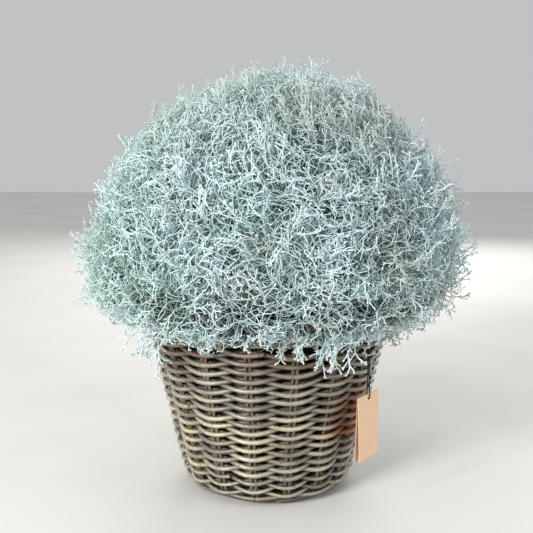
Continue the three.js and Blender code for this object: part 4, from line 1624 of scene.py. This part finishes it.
    def add_prongs(self, points: Array, headings: Array, nodes: list[int], tone: Array, owner: Array,
                   stout: float = 1.0, hanging: bool = False) -> None:
        """Adds a short prong, which thickens to a blunt club, at some points of each line.

        Args:
            points: The lines' points.
            headings: The lines' headings.
            nodes: The points that get a prong.
            tone: Each line's shade.
            owner: The number of each line's leafy stem.
            stout: How thick the prongs are, against the usual.
            hanging: Whether they hang over the rim.
        """
        spots, leads = self.fork(points, headings, nodes, self.prong_angle)
        which = np.repeat(np.arange(len(points)), len(nodes))
        length = self.random.uniform(*self.prong_lengths, len(spots)) * stout
        prongs = np.stack([spots, spots + leads * length[:, None]], axis=1)
        girth = np.array([self.shoot_radius, self.club_radius]) * stout
        age = self.age_and_shade_at(prongs, self.oldest_prong, hanging) + self.prong_ages
        self.lines.add(prongs, girth, age, tone[which], owner[which])

    def grow_main_sprays(self) -> None:
        """Grows the sprays that make up most of the bush's surface."""
        ways = self.directions(self.sprays.count, self.lowest)
        heading = self.set_out(ways, self.sprays.outward)
        start = self.from_shell(ways, self.sprays.start)
        self.grow_sprays(start, heading, self.random.uniform(*self.sprays.hold, len(ways)))

    def grow_tufts(self) -> None:
        """Grows the tufts of sprays that stand proud of the rest here and there."""
        each = self.tuft_sprays
        tufts = self.directions(self.tufts, self.lowest * self.tuft_lowest)
        shape = (len(tufts) * each, 3)
        ways = unit(np.repeat(tufts, each, axis=0) + self.random.normal(0, self.tuft_spread, shape))
        heading = unit(ways * self.tuft_outward + self.random.normal(0, self.tuft_sway, shape))
        proud = self.random.random(len(tufts)) ** self.tuft_rarity
        hold = self.tuft_hold + self.tuft_proud * proud
        self.grow_sprays(self.from_shell(ways, self.tuft_start), heading, np.repeat(hold, each),
                         self.tuft_stout, self.tuft_restless)

    def grow_fringe(self) -> None:
        """Hangs clumps of sprays over the basket's rim."""
        out, up = self.fringe_way
        for degrees, drop, count in self.fringe:
            azimuth = math.radians(degrees) + self.random.normal(0, self.fringe_spread, count)
            radius = self.rim_reach + self.fringe_out + self.random.uniform(*self.fringe_out_sway, count)
            height = self.fringe_height + self.random.uniform(*self.fringe_up_sway, count)
            sway = self.random.normal(0, self.fringe_way_sway, (count, 3))
            heading = unit(around(out, azimuth, up) + sway)
            stretch = max(self.fringe_shortest, drop / self.fringe_drop) ** self.fringe_power
            self.grow_sprays(around(radius, azimuth, height), heading, None, self.fringe_stout,
                             self.fringe_restless, stretch)

    def grow_tag_twig(self) -> None:
        """Grows the twig that the tag hangs from: over the rim, down to the knot and in a loop round it."""
        end = self.tag_twig_end
        radius, azimuth = math.hypot(*TAG_PLACE), math.atan2(TAG_PLACE[1], TAG_PLACE[0])
        out, up = np.array(self.tag_twig_course).T
        path = smooth(around(radius + out, azimuth, end + up), closeness=3)
        owner = Ring.LOWER.value[1]
        self.lines.add_one(path, np.linspace(*self.tag_twig_girth, len(path)), self.tag_twig_tone,
                           age=self.tag_twig_age, owner=owner)
        loop = np.array([*TAG_PLACE, end]) + smooth(np.array(self.tag_loop), closeness=4)
        self.lines.add_one(loop, self.twig_radius, self.loop_tone, age=self.loop_age, owner=owner)
        roots = loop[list(self.loop_nodes)]
        prongs = np.stack([roots, roots + np.array(self.loop_prongs)], axis=1)
        self.lines.add(prongs, np.array([self.shoot_radius, self.club_radius]), self.loop_age,
                       np.full(len(roots), self.loop_tone), owner)

    def grow_arcs(self) -> None:
        """Grows long curved twigs that lie along the bush's surface, with a prong at the end of each."""
        layer = self.arcs
        ways = self.directions(layer.count, self.lowest)
        heading = self.set_out(ways, layer.outward)
        hold = self.random.uniform(*layer.hold, len(ways))
        points, headings = self.walk(self.from_shell(ways, layer.start), heading,
                                     [layer.stride] * layer.strides, hold, np.zeros(layer.strides),
                                     layer.restless)
        owner = self.owner_of(ways)
        tone = self.tones_of(len(ways), self.arc_tones)
        age = self.age_and_shade_at(points, self.oldest_twig) - self.arc_ageing
        self.lines.add(points, self.arc_radius, age, tone, owner)
        self.add_prongs(points, headings, [layer.strides], tone, owner)

    def grow_undergrowth(self) -> None:
        """Grows plain curved stems under the sprays, darker than the sprays and browner towards the rim,
        partly as painted shade.
        """
        layer = self.undergrowth
        ways = self.directions(layer.count, self.lowest)
        heading = unit(ways * layer.outward[0] + self.random.normal(0, self.under_sway, ways.shape))
        hold = self.random.uniform(*layer.hold, len(ways))
        points, _ = self.walk(self.from_shell(ways, layer.start), heading,
                              [layer.stride] * layer.strides, hold, np.zeros(layer.strides),
                              layer.restless)
        oldest, youngest = self.under_ages
        age = np.minimum(self.age_and_shade_at(points, oldest), youngest)
        self.lines.add(points, self.twig_radius, age, self.tones_of(len(ways), self.under_tones),
                       self.owner_of(ways))

    def cell_of(self, ring: Ring) -> Range:
        """Returns the polar angles between which a ring's cells lie."""
        index = list(Ring).index(ring)
        return (0.0 if index == 0 else self.borders[index - 1]), self.borders[index]

    def grow_wood(self) -> None:
        """Grows the woody stems, from the soil up into the heart of each leafy stem."""
        rise = np.array([0, 0, self.stem_rise])
        sway, thinnest, thickest = self.stem_knots
        for ring, foot in zip(Ring, self.feet):
            count, first = ring.value
            polar = 0 if ring is Ring.TOP else sum(self.cell_of(ring)) / 2
            for number in range(count):
                azimuth = self.tag_azimuth + number * TURN / count
                root = around(foot, azimuth + (self.upper_turn if ring is Ring.UPPER else 0), self.soil_top)
                into = (self.middle + around(math.sin(polar), azimuth, math.cos(polar))
                        * self.radius * self.stem_reach)
                bend = root + (into - root) * self.stem_bend + rise
                knees = np.array([root - [0, 0, self.stem_depth], root + rise, bend, into])
                path = smooth(knees, closeness=5)
                girth = np.linspace(self.stem_radius, self.stem_radius * self.stem_taper, len(path))
                knots = np.clip(1 + sway * self.random.normal(0, 1, len(path)), thinnest, thickest)
                self.lines.add_one(path, girth * knots, self.stem_tone, age=self.stem_age,
                                   owner=first + number)

    def cell_heart(self, number: int) -> Piece:
        """Makes the dense middle of one leafy stem: a bumpy clump that fills the inside of its cell.

        Args:
            number: The leafy stem's number, from 1.

        Returns:
            The object.
        """
        ring = next(ring for ring in reversed(Ring) if number >= ring.value[1])
        count, first = ring.value
        low, high = self.cell_of(ring)
        shape = bmesh.new()
        bmesh.ops.create_icosphere(shape, subdivisions=3, radius=1.0)
        corners = np.array([corner.co for corner in shape.verts])
        faces = [[corner.index for corner in face.verts] for face in shape.faces]
        shape.free()
        corners /= np.abs(corners).max(axis=1, keepdims=True) ** self.heart_squareness
        margin = self.heart_margin / self.radius
        if ring is Ring.TOP:
            polar = np.minimum(1, np.hypot(corners[:, 0], corners[:, 1])) * (high - margin)
            azimuth = np.arctan2(corners[:, 1], corners[:, 0])
        else:
            polar = (low + high) / 2 + corners[:, 1] * ((high - low) / 2 - margin)
            azimuth = (self.tag_azimuth + (number - first) * TURN / count
                       - corners[:, 0] * (math.pi / count - margin))
        ways = around(np.sin(polar), azimuth, np.cos(polar))
        bumps = np.sin(ways @ self.waves.T * self.heart_bump_scale + self.wave_starts).sum(axis=1)
        tuck = self.heart_tuck * np.clip(-ways[:, 2] / self.heart_low, 0, 1)
        share = (corners[:, 2] + 1) / 2
        depth = (self.heart_inside + (self.heart_share - tuck - self.heart_inside) * share
                 + bumps * self.heart_bump)
        points = self.middle + ways * (self.shell(ways) * depth)[:, None]
        return mesh_object(f"heart_{number:02d}", points, faces)

    def build(self, rods: RodMaker) -> None:
        """Grows everything and makes one piece for each leafy stem.

        Args:
            rods: What makes rods of the lines.
        """
        self.grow_main_sprays()
        self.grow_tufts()
        self.grow_fringe()
        self.grow_tag_twig()
        self.grow_arcs()
        self.grow_undergrowth()
        self.grow_wood()
        for number in range(1, LEAFY_STEMS + 1):
            piece = rods.make(self.lines.mesh(f"twigs_{number:02d}", number), self.twig_sides, self.twig,
                              self.cell_heart(number), self.heart)
            settle(piece, [f"leafy_stem_{number:02d}"])


@dataclass
class TagOnString:
    """The blank folded card, the thread that it hangs on and the knot at the twig."""

    rods: RodMaker
    thread: float = 0.001
    knot_height: float = 0.2524
    knot_radius: float = 0.0033
    knot_loop: float = 0.34
    knot_shape: Sizes = (1.0, 1.1, 1.15)
    knot_points: int = 61
    knot_sides: int = 6
    route: tuple[Range, ...] = (
        (1.3, 248.7), (1.3, 241), (1.3, 231), (1.3, 220), (1.45, 209), (1.8, 199), (2.35, 191),
        (2.8, 185.5), (2.9, 181.8), (2.0, 179.5), (0, 178.7), (-2.0, 179.5), (-2.9, 181.8),
        (-2.8, 185.5), (-2.35, 191), (-1.8, 199), (-1.45, 209), (-1.3, 220), (-1.3, 231), (-1.3, 241),
        (-1.3, 248.7))

    def __post_init__(self) -> None:
        """Makes the finishes."""
        self.card = CardFinish().material()
        self.black = ThreadFinish().material()

    def spot(self, out: Array, height: Array) -> Array:
        """Returns points given by their distance in front of the card's middle and their height."""
        front = TAG_TURN - math.pi / 2
        return np.stack([TAG_PLACE[0] + out * math.cos(front), TAG_PLACE[1] + out * math.sin(front),
                         height], axis=-1)

    def build_string(self) -> None:
        route = np.array(self.route) / 1000
        path = smooth(self.spot(route[:, 0], route[:, 1]), closeness=6)
        curve = bpy.data.curves.new("tag_thread", "CURVE")
        curve.dimensions = "3D"
        curve.bevel_depth = self.thread
        curve.bevel_resolution = 3
        curve.use_fill_caps = True
        spline = curve.splines.new("POLY")
        spline.points.add(len(path) - 1)
        spline.points.foreach_set("co", np.hstack([path, np.ones((len(path), 1))]).ravel())
        curve.materials.append(self.black)
        piece = in_scene("tag_thread", curve)
        settle(piece, ["tag_string"])
        length = float(np.linalg.norm(np.diff(path, axis=0), axis=1).sum())
        LOG.info("the thread is %.1f mm long", length * 1000)

    def build_knot(self) -> Piece:
        """Ties the knot: a small trefoil of the same thread."""
        turn = np.linspace(0, TURN, self.knot_points)
        size = self.knot_radius * self.knot_loop
        across, deep, tall = self.knot_shape
        path = np.stack([(np.sin(turn) + 2 * np.sin(2 * turn)) * size * across,
                         -np.sin(3 * turn) * size * deep,
                         (np.cos(turn) - 2 * np.cos(2 * turn)) * size * tall], axis=1)
        path += np.array([*TAG_PLACE, self.knot_height])
        lines = Lines()
        lines.add_one(path, self.thread)
        piece = self.rods.make(lines.mesh("thread_knot"), self.knot_sides, self.black)
        settle(piece, ["tag_knot"])
        return piece

    def dress_card(self) -> Piece:
        """Gives the solid card its finish, and returns it."""
        card = bpy.data.objects["hang_tag"]
        card.data.materials.clear()
        card.data.materials.append(self.card)
        LOG.info("%s: %s, the solid's own mesh", card.name, size_of(card))
        return card

    def build(self) -> None:
        """Builds the knot, gives the card its finish and builds the thread."""
        knot = self.build_knot()
        card = self.dress_card()
        self.build_string()


@dataclass(frozen=True)
class Lamp:
    """A soft square light."""

    name: str
    place: Spot
    wide: float
    power: float
    tint: Spot

    def hang(self, target: Spot) -> None:
        """Hangs the light so that it looks at a target.

        Args:
            target: The place that it looks at.
        """
        data = bpy.data.lights.new(self.name, "AREA")
        data.size, data.energy, data.color = self.wide, self.power, self.tint
        light = in_scene(self.name, data)
        light.location = self.place
        light.rotation_euler = (Vector(target) - Vector(self.place)).to_track_quat("-Z", "Y").to_euler()


@dataclass
class Studio:
    """The camera at the picture's own viewpoint, soft lights and a plain pale floor."""

    viewpoint: Spot = (-0.0024, -1.45, 0.595)
    tilt: float = math.radians(9.3)
    focal_pixels: float = 900
    frame_pixels: float = 533
    lamps: tuple[Lamp, ...] = (
        Lamp("key light", place=(-1.75, -2.25, 1.42), wide=0.9, power=89, tint=(1.0, 0.99, 0.97)),
        Lamp("side light", place=(2.4, -1.2, 1.3), wide=1.6, power=17, tint=(0.98, 0.99, 1.0)),
        Lamp("back light", place=(0.4, 2.6, 1.5), wide=1.8, power=38, tint=(1.0, 1.0, 0.98)))
    lit_place: Spot = (0, 0, 0.35)
    air: Sizes = (0.94, 0.96, 0.985, 1)
    air_strength: float = 0.56
    floor_shades: Stops = ((0.3, (222, 220, 214)), (0.7, (230, 228, 223)))
    floor_half: float = 6.0
    floor_height: float = -0.0005

    def build_camera(self) -> None:
        """Sets the camera up."""
        data = bpy.data.cameras.new("camera")
        data.sensor_fit = "HORIZONTAL"
        data.angle = 2 * math.atan(self.frame_pixels / 2 / self.focal_pixels)
        camera = in_scene("camera", data)
        camera.location = self.viewpoint
        camera.rotation_euler = (math.pi / 2 - self.tilt, 0, 0)
        bpy.context.scene.camera = camera

    def build(self) -> None:
        """Lights the object and lays the floor."""
        for lamp in self.lamps:
            lamp.hang(self.lit_place)
        world = bpy.data.worlds.new("pale room")
        world.use_nodes = True
        background = world.node_tree.nodes["Background"].inputs
        background["Color"].default_value = self.air
        background["Strength"].default_value = self.air_strength
        bpy.context.scene.world = world
        bpy.context.scene.view_settings.view_transform = "Standard"
        paint = Paint("pale floor", Roughness=0.9)
        cloud = paint.noise(paint.place(), scale=3, detail=2)
        paint.drive("Base Color", paint.ramp(cloud, *self.floor_shades))
        half, height = self.floor_half, self.floor_height
        corners = np.array([[-half, -half, height], [half, -half, height], [half, half, height],
                            [-half, half, height]])
        mesh_object("floor", corners, [[0, 1, 2, 3]], paint.material, soft=False)


def main() -> None:
    """Builds the camera and the cord first, then the rest."""
    logging.basicConfig(level=logging.INFO, format="%(name)s: %(message)s")
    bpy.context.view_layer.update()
    studio = Studio()
    studio.build_camera()
    rods = RodMaker()
    TagOnString(rods).build()
    Basket(rods).build()
    Filling().build()
    Bush().build(rods)
    studio.build()
    bpy.context.view_layer.update()
    shown = [piece for piece in bpy.data.objects if piece.type == "MESH" and piece.visible_get()]
    LOG.info("%d triangles in the meshes that show, the floor's among them",
             sum(len(piece.data.loop_triangles) for piece in shown))


if __name__ == "__main__":
    main()
